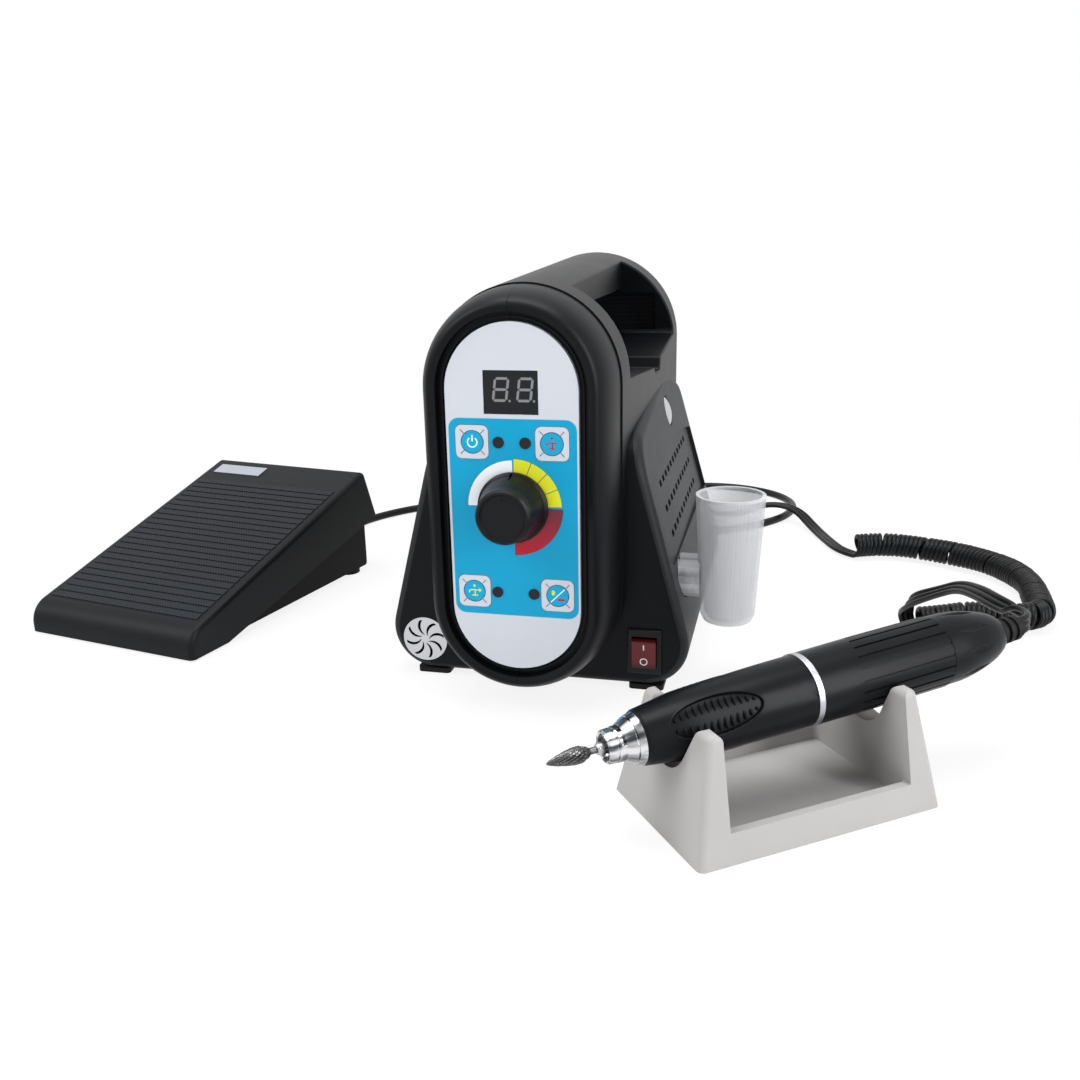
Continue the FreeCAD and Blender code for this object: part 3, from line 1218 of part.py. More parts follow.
def hand_placement():
    """From handpiece coordinates, Z back along the axis and Y up, to the unit. It lies in the notches."""
    front_z = rest_height(sleeve_r(END_WALL - HAND_NOSE))
    rear_z = rest_height(MOTOR_R1)
    tilt = math.atan2(rear_z - front_z, STAND_L - 2 * END_WALL)
    nose_z = front_z - (END_WALL - HAND_NOSE) * math.tan(tilt)
    along = V(math.cos(tilt), 0, math.sin(tilt))
    up = V(-math.sin(tilt), 0, math.cos(tilt))
    side = V(0, 1, 0)
    matrix = FreeCAD.Matrix(side.x, up.x, along.x, HAND_NOSE,
                            side.y, up.y, along.y, STAND_W / 2,
                            side.z, up.z, along.z, nose_z,
                            0, 0, 0, 1)
    local = FreeCAD.Placement(matrix)
    return stand_placement().multiply(local)


def along(points):
    """A solid turned about the handpiece's axis from (station, radius) pairs."""
    profile = [V(r, 0, s) for s, r in points]
    return turned(profile, V(0, 0, 0), Z_DIR)


def sleeve_r(s):
    """Outer radius of the front sleeve at one station."""
    table = [(NOSE_END, SLEEVE_R0), (HIP_AT, SLEEVE_R1 - 0.4), (WAIST_AT, SLEEVE_R1 + 0.2),
             (SLEEVE_END, SLEEVE_R2)]
    for (s0, r0), (s1, r1) in zip(table, table[1:]):
        if s <= s1:
            return r0 + (r1 - r0) * (s - s0) / (s1 - s0)
    return SLEEVE_R2


def handpiece(parts):
    """Nose, sleeves, ring, end cap and boot, and the spindle with its motor inside."""
    made = {}
    step = NOSE_FRONT_R + 0.3
    spigot_r = SLEEVE_BORE - 0.02
    face = [(FACE_DEPTH, COLLET_R + 0.5), (FACE_DEPTH, NOSE_FRONT_R - 1.6), (0.3, NOSE_FRONT_R - 1.4),
            (0, NOSE_FRONT_R - 1), (0, NOSE_FRONT_R - 0.6), (0.7, NOSE_FRONT_R)]
    front_line = [(LINE_AT - 0.2, NOSE_FRONT_R + 0.1), (LINE_AT, NOSE_FRONT_R - 0.2),
                  (LINE_AT + 0.3, NOSE_FRONT_R - 0.2), (LINE_AT + 0.5, NOSE_FRONT_R + 0.2)]
    bayonet_end = BAYONET_AT + BAYONET_W
    bayonet_band = [(BAYONET_AT, step), (bayonet_end, step), (bayonet_end + 0.2, step + 0.3)]
    rear_line = [(NOSE_END - 3, SLEEVE_R0 - 1.0), (NOSE_END - 2.8, SLEEVE_R0 - 1.3),
                 (NOSE_END - 2.5, SLEEVE_R0 - 1.3), (NOSE_END - 2.3, SLEEVE_R0 - 0.8),
                 (NOSE_END - 0.4, SLEEVE_R0 - 0.2), (NOSE_END, SLEEVE_R0)]
    spigot_end = NOSE_END + SPIGOT_L
    inside = [(NOSE_END, spigot_r), (spigot_end, spigot_r), (spigot_end, SPINDLE_R + 1), (4, SPINDLE_R + 1),
              (4, COLLET_R + 0.5)]
    nose = face + front_line + bayonet_band + rear_line + inside
    cone = along(nose)
    slots = []
    for i in range(2):
        reach = 2 * NOSE_FRONT_R
        low, high = math.radians(BAYONET_FROM), math.radians(BAYONET_TO)
        middle = (low + high) / 2
        wedge = [V(reach * math.cos(t), reach * math.sin(t), BAYONET_AT) for t in (low, middle, high)]
        sector = prism(polygon([V(0, 0, BAYONET_AT)] + wedge), V(0, 0, BAYONET_W))
        sector = sector.common(ring(reach, step - 1.1, BAYONET_W, V(0, 0, BAYONET_AT), Z_DIR))
        sector.rotate(V(0, 0, 0), Z_DIR, 180 * i)
        slots.append(sector)
    made["nose_cone"] = solids(cone.cut(Part.makeCompound(slots)))

    swell = (NOSE_END + HIP_AT) / 2
    rows = [(NOSE_END, SLEEVE_R0), (NOSE_END + 1.2, SLEEVE_R0 + 0.6), (swell, sleeve_r(swell) + 0.3),
            (HIP_AT, SLEEVE_R1 - 0.35), (WAIST_AT, SLEEVE_R1 + 0.25), (SLEEVE_END - 20, SLEEVE_R2 - 0.3),
            (SLEEVE_END, SLEEVE_R2)]
    outer = Part.BSplineCurve()
    outer.interpolate([V(r, 0, s) for s, r in rows[1:]])
    spline = outer.toShape()
    first, last = V(rows[1][1], 0, rows[1][0]), V(SLEEVE_R2, 0, SLEEVE_END)
    start = V(SLEEVE_R0, 0, NOSE_END)
    bore0, bore1 = V(SLEEVE_BORE, 0, NOSE_END), V(SLEEVE_BORE, 0, SLEEVE_END)
    lines = [Part.LineSegment(start, first).toShape(), spline, Part.LineSegment(last, bore1).toShape(),
             Part.LineSegment(bore1, bore0).toShape(), Part.LineSegment(bore0, start).toShape()]
    sleeve = Part.Face(Part.Wire(lines)).revolve(V(0, 0, 0), Z_DIR, 360)
    deep = V(-THUMB_DEPTH, 0, 0)
    inner_lines = []
    for line in lines[:3]:
        copy = line.copy()
        copy.translate(deep)
        inner_lines.append(copy)
    ends = [last + deep, V(1, 0, SLEEVE_END), V(1, 0, NOSE_END), start + deep]
    closing = [Part.LineSegment(a, b).toShape() for a, b in zip(ends, ends[1:])]
    core = Part.Face(Part.Wire(inner_lines[:2] + closing)).revolve(V(0, 0, 0), Z_DIR, 360)
    dents = []
    for i in range(THUMB_COUNT):
        half_l, half_w = THUMB_L / 2, THUMB_W / 2
        oval = Part.Ellipse(V(0, 0, half_l), V(half_w, 0, 0), V(0, 0, 0)).toShape()
        pad = Part.Face(Part.Wire([oval])).extrude(V(0, 20, 0))
        pad.translate(V(0, 0, THUMB_AT))
        pad.rotate(V(0, 0, 0), Z_DIR, 90 - THUMB_ROLL + 120 * i)
        dents.append(pad.cut(core))
    made["front_sleeve"] = solids(sleeve.cut(dents))

    made["trim_ring"] = solids(along([(SLEEVE_END + GAP, MOTOR_BORE), (SLEEVE_END + GAP, RING_R),
                                      (RING_END, RING_R + 0.1), (RING_END, MOTOR_BORE)]))
    motor = along([(RING_END, MOTOR_BORE), (RING_END, MOTOR_R0), (GROOVE_START, MOTOR_R1),
                   (MOTOR_END, MOTOR_R1), (MOTOR_END, MOTOR_BORE)])
    grooves = []
    for i in range(GROOVE_COUNT):
        start_s = GROOVE_START - 4 + 4 * math.cos(2 * math.pi * i / GROOVE_COUNT)
        cut = box(MOTOR_R1 - GROOVE_D, MOTOR_R1 + 2, -GROOVE_W / 2, GROOVE_W / 2, start_s, MOTOR_END + 1)
        cut.rotate(V(0, 0, 0), Z_DIR, 360.0 * i / GROOVE_COUNT)
        grooves.append(cut)
    made["motor_sleeve"] = solids(motor.cut(Part.makeCompound(grooves)))
    length = CAP_END - MOTOR_END
    cap = along([(MOTOR_END, MOTOR_R1 - 0.8), (MOTOR_END + 0.6, MOTOR_R1 - 0.3),
                 (MOTOR_END + 0.26 * length, MOTOR_R1 - 0.4),
                 (MOTOR_END + 0.48 * length, MOTOR_R1 - 1.3), (MOTOR_END + 0.7 * length, MOTOR_R1 - 2.9),
                 (MOTOR_END + 0.88 * length, MOTOR_R1 - 5.0), (CAP_END - 1.2, MOTOR_R1 - 6.6),
                 (CAP_END, MOTOR_R1 - 8.0), (CAP_END, BOOT_R - 1.2),
                 (CAP_END - 6, BOOT_R - 1.2), (CAP_END - 6, 6), (MOTOR_END + 4, MOTOR_BORE),
                 (MOTOR_END, MOTOR_BORE)])
    made["end_cap"] = solids(cap)

    pitch = BOOT_L / (2 * BOOT_RIBS)
    valley = BOOT_R - 1.25
    boot = [(CAP_END - 6, RIBBON_D / 2 - 0.6), (CAP_END - 6, valley), (CAP_END + BOOT_LIP, valley)]
    for i in range(BOOT_RIBS):
        s = CAP_END + BOOT_LIP + 2 * i * pitch
        crown = BOOT_R - 0.2 * i
        boot += [(s, crown), (s + pitch, crown), (s + pitch, valley), (s + 2 * pitch, valley)]
    boot.append((CAP_END + BOOT_LIP + BOOT_L, RIBBON_D / 2 - 0.6))
    made["cord_boot"] = solids(along(boot))

    made["stator"] = solids(along([(RING_END + 8, STATOR_BORE), (RING_END + 8, MOTOR_BORE - 0.02),
                                   (MOTOR_END - 6, MOTOR_BORE - 0.02), (MOTOR_END - 6, STATOR_BORE)]))
    made["rotor"] = solids(along([(RING_END + 10, SPINDLE_R), (RING_END + 10, ROTOR_R),
                                  (MOTOR_END - 8, ROTOR_R), (MOTOR_END - 8, SPINDLE_R)]))
    bore = SHANK_R + 0.02
    spindle = along([(-COLLET_OUT, bore), (-COLLET_OUT, COLLET_R - 0.5), (-COLLET_OUT + 0.8, COLLET_R),
                     (4.5, COLLET_R), (5.5, SPINDLE_R), (MOTOR_END - 2, SPINDLE_R), (MOTOR_END - 2, 0),
                     (BUR_BORE, 0), (BUR_BORE, bore)])
    made["spindle"] = solids(spindle)
    bearings = []
    for s in (NOSE_END + SPIGOT_L + 0.2, SLEEVE_END - BEARING_T - 4):
        inner_r, outer_r = SPINDLE_R + 0.02, SLEEVE_BORE - 0.02
        ends = [(s, inner_r), (s, outer_r), (s + BEARING_T, outer_r), (s + BEARING_T, inner_r)]
        bearings.append(along(ends))
    made["bearings"] = bearings
    length = BUR_HEAD_END - BUR_TIP
    flame = [(BUR_TIP, 0), (BUR_TIP + 0.06 * length, 0.25 * BUR_R), (BUR_TIP + 0.28 * length, 0.58 * BUR_R),
             (BUR_TIP + 0.56 * length, 0.88 * BUR_R), (BUR_TIP + 0.8 * length, BUR_R),
             (BUR_TIP + 0.92 * length, 0.95 * BUR_R), (BUR_HEAD_END, 0.75 * BUR_R),
             (BUR_HEAD_END + 1, 0.66 * BUR_R), (BUR_NECK, SHANK_R), (BUR_BORE - 1, SHANK_R),
             (BUR_BORE - 1, 0)]
    made["bur"] = solids(along(flame))
    at = hand_placement()
    for name, bodies in made.items():
        parts[name] = [placed(s, at) for s in bodies]


# Cords
def route_edges(points):
    """Straight runs joined by tangent arcs, each as large as its two runs allow, and the arcs' radii."""
    edges = []
    radii = []
    last = points[0]
    for before, point, after in zip(points, points[1:], points[2:]):
        back = before - point
        ahead = after - point
        turn = math.pi - back.getAngle(ahead)
        reach = 0.45 * min(back.Length, ahead.Length)
        radii.append(reach / math.tan(turn / 2))
        start = point + back.normalize() * reach
        end = point + ahead.normalize() * reach
        edges.append(Part.LineSegment(last, start).toShape())
        edges.append(arc_of(start, point, end))
        last = end
    edges.append(Part.LineSegment(last, points[-1]).toShape())
    return edges, radii


def cord_tube(edges, radius, label, radii):
    """A plain round tube along a cord's route, with its volume compared to section times length."""
    tube = pipe(edges, radius)
    length = sum(edge.Length for edge in edges)
    share = tube.Volume / (math.pi * radius ** 2 * length)
    print(label, "length", round(length, 1), "volume ratio", round(share, 4), "valid", tube.isValid())
    print(label, "radii", [round(r, 1) for r in radii])
    return tube


def plugs(parts):
    """The handpiece plug and the pedal plug in their sockets."""
    for name, x, pin_r, body_r, tail_r, depth in (
            ("handpiece_plug", MOTOR_SOCKET_X, MOTOR_PLUG_R, MOTOR_PLUG_BODY_R, RIBBON_D / 2, 10.0),
            ("pedal_plug", PEDAL_SOCKET_X, PEDAL_PLUG_R, PEDAL_PLUG_BODY_R, CORD_D / 2, 8.0)):
        profile = [(-depth, 0), (-depth, pin_r - 0.4), (-depth + 0.4, pin_r), (COLLAR_T, pin_r),
                   (COLLAR_T, body_r), (18, body_r), (20, body_r - 1.4), (PLUG_OUT, tail_r + 0.6),
                   (PLUG_OUT, 0)]
        body = turned([V(r, s, 0) for s, r in profile], V(0, 0, 0), Y_DIR)
        body.translate(V(x, BAY_Y, SOCKET_Z))
        parts[name] = solids(body)


def bow(points, count):
    """Evenly spaced points along a smooth bow drawn by control points, and its length."""
    dense = []
    knots = [points[0]] + [(a + b) * 0.5 for a, b in zip(points[1:-2], points[2:-1])] + [points[-1]]
    for start, middle, end in zip(knots, points[1:], knots[1:]):
        for k in range(40):
            t = k / 40.0
            dense.append(start * ((1 - t) ** 2) + middle * (2 * t * (1 - t)) + end * (t * t))
    dense.append(points[-1])
    sums = [0.0]
    for a, b in zip(dense, dense[1:]):
        sums.append(sums[-1] + a.distanceToPoint(b))
    out = []
    j = 0
    for i in range(count):
        want = sums[-1] * i / (count - 1)
        while j < len(sums) - 2 and sums[j + 1] < want:
            j += 1
        share = (want - sums[j]) / (sums[j + 1] - sums[j])
        out.append(dense[j] + (dense[j + 1] - dense[j]) * share)
    return out, sums[-1]


def curl_edges():
    """The curly cord: a wire wound in quarter turns round an axis that lies in a bow on the table."""
    radius = COIL_OUT_R - RIBBON_D / 2
    level = COIL_OUT_R + FLOOR_GAP
    quarters = COIL_TURNS * 4 + 1
    fine = 4
    steps = quarters * fine + fine // 2
    axis, length = bow([V(x, y, level) for x, y in COIL_BOW], steps + 1)
    climb = length * 4 * fine / steps / (2 * math.pi)

    def at(k):
        forward = (axis[min(k + 1, steps)] - axis[max(k - 1, 0)]).normalize()
        side = forward.cross(Z_DIR)
        angle = math.pi / 2 * (k / fine - 1)
        out = side * math.cos(angle) + Z_DIR * math.sin(angle)
        turn = Z_DIR * math.cos(angle) - side * math.sin(angle)
        return axis[k] + out * radius, (turn * radius + forward * climb).normalize()

    stops = [fine * i for i in range(quarters + 1)] + [steps]
    edges = []
    for i, j in zip(stops, stops[1:]):
        edges += biarc(*at(i), *at(j))
    start, start_way = at(0)
    end, end_way = at(steps)
    before = start - start_way * RIBBON_D
    beyond = end + end_way * RIBBON_D
    edges.insert(0, Part.LineSegment(before, start).toShape())
    edges.append(Part.LineSegment(end, beyond).toShape())
    print("curls along", round(length, 1), "pitch", round(climb * 2 * math.pi, 2))
    return edges, (before, start_way), (beyond, end_way)


def self_gap(edges, radius, turn):
    """Least gap of a wound tube to itself, between points that lie most of a turn apart."""
    points = []
    for edge in edges:
        step = (edge.LastParameter - edge.FirstParameter) / 4
        points += [edge.valueAt(edge.FirstParameter + step * k) for k in range(4)]
    sums = [0.0]
    for a, b in zip(points, points[1:]):
        sums.append(sums[-1] + a.distanceToPoint(b))
    least = None
    for i, p in enumerate(points):
        for j in range(i + 1, len(points)):
            if sums[j] - sums[i] > 0.7 * turn:
                d = p.distanceToPoint(points[j])
                least = d if least is None else min(least, d)
            if sums[j] - sums[i] > 4 * turn:
                break
    return least - 2 * radius


def slack_edges():
    """The put-away length of the pedal cord: a neat round coil, wound clockwise from the floor up."""
    base = V(SLACK_AT[0], SLACK_AT[1], SLACK_Z)

    def at(i):
        angle = -math.pi / 2 * (i + 1)
        out = V(math.cos(angle), math.sin(angle), 0)
        way = V(math.sin(angle), -math.cos(angle), 0) * SLACK_R + Z_DIR * (SLACK_PITCH / (2 * math.pi))
        return base + out * SLACK_R + Z_DIR * (SLACK_PITCH * i / 4), way.normalize()

    edges = []
    for i in range(SLACK_QUARTERS):
        edges += biarc(*at(i), *at(i + 1))
    return edges, at(0), at(SLACK_QUARTERS)


def boot_end():
    """Where the cord leaves the handpiece, and the way it leaves."""
    at = hand_placement()
    end = at.multVec(V(0, 0, CAP_END + BOOT_LIP + BOOT_L))
    return end, (at.multVec(V(0, 0, 2 * CAP_END)) - end).normalize()


def handpiece_cord(parts):
    """The flat cord of the handpiece: lead from its plug, curls on the table, and tail up to the boot."""
    radius = RIBBON_D / 2
    floor = radius + FLOOR_GAP
    edges, entry, leave = curl_edges()
    coil = pipe(edges, radius)
    print("curls self gap", round(self_gap(edges, radius, 2 * math.pi * (COIL_OUT_R - radius)), 2))
    parts["handpiece_cord_curls"] = solids(coil)
    plug_end = V(MOTOR_SOCKET_X, BAY_Y + PLUG_OUT, SOCKET_Z)
    end, way = entry
    over = floor + CORD_D + 3.0
    lead = [plug_end, plug_end + Y_DIR * 25, V(38, 252, 28), V(52, 278, 10), V(74, 295, floor + 0.4),
            V(92, 304, over),
            V(114, 298, over), V(128, 272, floor), V(137, 243, floor), end - way * 9, end]
    route, radii = route_edges(lead)
    parts["handpiece_cord_lead"] = [cord_tube(route, radius, "lead", radii)]
    begin, heading = leave
    outlet, out = boot_end()
    tail = [begin, begin + heading * 9, V(182, 67, 33), V(189.5, 54, 41), V(195, 35, 45), V(199.5, 18, 46.5),
            V(206, 3.5, 47.4), outlet + out * 7.2, outlet]
    route, radii = route_edges(tail)
    parts["handpiece_cord_tail"] = [cord_tube(route, radius, "tail", radii)]


def pedal_cord(parts):
    """The round cord of the pedal: over the table, a loose loop, the put-away coil and up to its plug."""
    radius = CORD_D / 2
    floor = radius + FLOOR_GAP
    at = pedal_placement()
    gland = at.multVec(V(GLAND_X, PEDAL_BASE_Y1 + GLAND_L, GLAND_Z))
    back = (at.multVec(V(GLAND_X, PEDAL_BASE_Y1 + 2 * GLAND_L, GLAND_Z)) - gland).normalize()
    coil, (coil_start, start_way), (coil_end, end_way) = slack_edges()
    lead = [gland, gland + back * 18, V(-190, 215, floor), V(-184, 248, floor),
            V(-158, 284, floor), V(-118, 306, floor), V(-75, 330, floor), V(-30, 358, floor),
            V(15, 376, floor), V(62, 384, floor), V(98, 366, floor), V(115, 334, floor), V(108, 298, floor),
            V(82, 266, floor), V(45, 250, floor), V(16, coil_start.y, floor),
            coil_start - start_way * 14, coil_start]
    first, radii = route_edges(lead)
    plug_end = V(PEDAL_SOCKET_X, BAY_Y + PLUG_OUT, SOCKET_Z)
    tail = [coil_end, coil_end + end_way * 22, V(-8, 236, 35), plug_end + Y_DIR * 24, plug_end]
    last, more = route_edges(tail)
    print("slack self gap", round(self_gap(coil, radius, 2 * math.pi * SLACK_R), 2))
    parts["pedal_cord"] = [cord_tube(first + coil + last, radius, "pedal cord", radii + more)]


CORD_NODES = ("handpiece_cord_curls", "handpiece_cord_lead", "handpiece_cord_tail", "pedal_cord",
              "handpiece_plug", "pedal_plug")


def main():
    """Build every piece, set the whole on its origin and write one file for each node."""
    os.makedirs("parts", exist_ok=True)
    parts = {}
    housing(parts)
    side_covers(parts)
    control_panel(parts)
    power_switch(parts)
    vent_disc(parts)
    rear_sockets(parts)
    unit_inside(parts)
    bur_cup(parts)
    pedal_parts(parts)
    stand(parts)
    handpiece(parts)
    plugs(parts)
    handpiece_cord(parts)
    pedal_cord(parts)
    own = [s for name, bodies in parts.items() if name not in CORD_NODES for s in bodies]
    bounds = Part.makeCompound(own).optimalBoundingBox(True)
    shift = V(-(bounds.XMin + bounds.XMax) / 2, -(bounds.YMin + bounds.YMax) / 2, -bounds.ZMin)
    print("shift", [round(c, 4) for c in shift])
    print("size", round(bounds.XLength, 2), round(bounds.YLength, 2), round(bounds.ZLength, 2))
    for name, bodies in sorted(parts.items()):
        shape = bodies[0] if len(bodies) == 1 else Part.makeCompound(bodies)
        shape = shape.copy()
        shape.translate(shift)
        shape.exportStep("parts/%s.step" % name)
        b = shape.BoundBox
        print(name, len(bodies), "valid", shape.isValid(), "volume", round(shape.Volume / 1000, 3),
              "box", [round(v, 1) for v in (b.XMin, b.XMax, b.YMin, b.YMax, b.ZMin, b.ZMax)])


main()
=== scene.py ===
"""Looks of a dental micromotor: control unit, foot pedal, handpiece on its stand, and cords."""
from __future__ import annotations

import logging
import math
from dataclasses import dataclass, field
from enum import Enum
from typing import Callable, Iterable, Protocol, Sequence

import bmesh
import bpy
from mathutils import Matrix, Vector

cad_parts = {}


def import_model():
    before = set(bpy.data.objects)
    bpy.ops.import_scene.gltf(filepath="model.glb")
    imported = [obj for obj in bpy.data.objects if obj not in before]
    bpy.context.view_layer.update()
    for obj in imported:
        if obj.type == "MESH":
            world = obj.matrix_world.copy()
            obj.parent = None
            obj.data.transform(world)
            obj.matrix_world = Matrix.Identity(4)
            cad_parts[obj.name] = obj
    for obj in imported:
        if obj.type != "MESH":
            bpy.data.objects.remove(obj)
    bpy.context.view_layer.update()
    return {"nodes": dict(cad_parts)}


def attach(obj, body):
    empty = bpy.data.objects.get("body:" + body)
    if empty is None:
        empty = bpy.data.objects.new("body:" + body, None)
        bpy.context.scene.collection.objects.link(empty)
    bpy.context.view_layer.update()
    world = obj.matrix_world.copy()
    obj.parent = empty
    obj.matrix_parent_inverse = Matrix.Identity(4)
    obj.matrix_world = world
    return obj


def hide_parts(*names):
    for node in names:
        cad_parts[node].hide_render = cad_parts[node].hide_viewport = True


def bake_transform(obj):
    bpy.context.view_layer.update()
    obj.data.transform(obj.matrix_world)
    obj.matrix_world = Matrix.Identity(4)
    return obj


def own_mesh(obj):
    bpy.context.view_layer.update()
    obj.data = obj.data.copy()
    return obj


LOG = logging.getLogger("micromotor")
MM = 0.001
# Drawings of the control unit start at its middle line, its sloped front and the table.
UNIT = Matrix.Translation(Vector((38.4526, -20.1411, 0.0)) * MM)
# The control panel's face, and the height of the knob's axis.
FACE_Y = -31.5
KNOB_Z = 93.5
Point = tuple[float, float, float]
Pair = tuple[float, float]
Placing = Callable[[float, float, float], Point]


def place(shift: Point, turn: float = 0.0, axis: str = "Z") -> Matrix:
    """A place in the control unit's drawing.

    Args:
        shift: Where the place is, in millimetres.
        turn: How far it is turned, in degrees.
        axis: The axis it turns about.

    Returns:
        The place as a rigid move in the scene, in metres.
    """
    move = Matrix.Translation(Vector(shift) * MM)
    return UNIT @ move @ Matrix.Rotation(math.radians(turn), 4, axis)


PEDAL = place((-282.1, 9.9, 0.0), -11.091)
# Heights of the pedal's tread at its front and rear, its run, and where its mat starts.
TREAD_FRONT = 15.06
TREAD_REAR = 62.9
TREAD_RUN = 159.2
MAT_START = 11.0
TREAD_ANGLE = math.atan2(TREAD_REAR - TREAD_FRONT, TREAD_RUN)
MAT_CORNER = Vector((0.0, MAT_START, TREAD_FRONT + MAT_START * math.tan(TREAD_ANGLE)))
TREAD = PEDAL @ Matrix.Translation(MAT_CORNER * MM) @ Matrix.Rotation(TREAD_ANGLE, 4, "X")
STAND = place((89.0, -137.1, 0.0), 36.507)
# The handpiece's third axis runs from its nose to its cord, and rises by the tilt.
HAND_TILT = math.radians(3.8026)
NOSE = Vector((-19.9, 31.3, 36.0777))
HAND = STAND @ Matrix.Translation(NOSE * MM) @ Matrix((
    (0.0, -math.sin(HAND_TILT), math.cos(HAND_TILT), 0.0),
    (1.0, 0.0, 0.0, 0.0),
    (0.0, math.cos(HAND_TILT), math.sin(HAND_TILT), 0.0),
    (0.0, 0.0, 0.0, 1.0)))
ROCKER = place((50.8, 0.0, 19.8))
SCALE = Matrix.Diagonal((MM, MM, MM, 1.0))
UNIT_MM = UNIT @ SCALE
HAND_MM = HAND @ SCALE


class Body(str, Enum):
    """The bodies that the added pieces ride on."""

    BASE = "base_set"
    ROCKER = "rocker"
    POWER = "power_button"
    STANDBY = "standby_button"
    DIRECTION = "direction_button"
    HAND_FOOT = "hand_foot_button"
    HANDPIECE = "handpiece"
    BUR = "bur"


class Value:
    """A number that varies over a surface and takes part in plain arithmetic."""

    def __init__(self, tree: bpy.types.NodeTree, socket: bpy.types.NodeSocket) -> None:
        """Wraps one output socket of a node tree."""
        self.tree = tree
        self.socket = socket

    def apply(self, operation: str, *others: Value | float, clamp: bool = False, first: bool = True) -> Value:
        """Adds one Math node.

        Args:
            operation: The node's operation.
            others: The other operands.
            clamp: Whether the result is kept between 0 and 1.
            first: Whether this value is the first operand.

        Returns:
            The node's result.
        """
        node = self.tree.nodes.new("ShaderNodeMath")
        node.operation = operation
        node.use_clamp = clamp
        operands = (self, *others) if first else (*others, self)
        for socket, operand in zip(node.inputs, operands):
            if isinstance(operand, Value):
                self.tree.links.new(operand.socket, socket)
            else:
                socket.default_value = operand
        return Value(self.tree, node.outputs[0])

    def __add__(self, other: Value | float) -> Value:
        """Sum."""
        return self.apply("ADD", other)

    def __sub__(self, other: Value | float) -> Value:
        """Difference."""
        return self.apply("SUBTRACT", other)

    def __rsub__(self, other: float) -> Value:
        """Difference from a number."""
        return self.apply("SUBTRACT", other, first=False)

    def __mul__(self, other: Value | float) -> Value:
        """Product."""
        return self.apply("MULTIPLY", other)

    def __truediv__(self, other: Value | float) -> Value:
        """Quotient."""
        return self.apply("DIVIDE", other)

    def clamped(self) -> Value:
        """The value kept between 0 and 1."""
        return self.apply("ADD", 0.0, clamp=True)

    def above(self, edge: float, soft: float) -> Value:
        """A straight ramp from 0 below an edge to 1 above it."""
        return ((self - (edge - soft)) / (2 * soft)).clamped()

    def below(self, edge: float, soft: float) -> Value:
        """A straight ramp from 1 below an edge to 0 above it."""
        return 1 - self.above(edge, soft)

    def magnitude(self) -> Value:
        """The value without its sign."""
        return self.apply("ABSOLUTE")

    def wave(self, length: float) -> Value:
        """A sine of the given length, between -1 and 1."""
        return (self * (2 * math.pi / length)).apply("SINE")


Feed = "Value | bpy.types.NodeSocket | float | Sequence[float]"


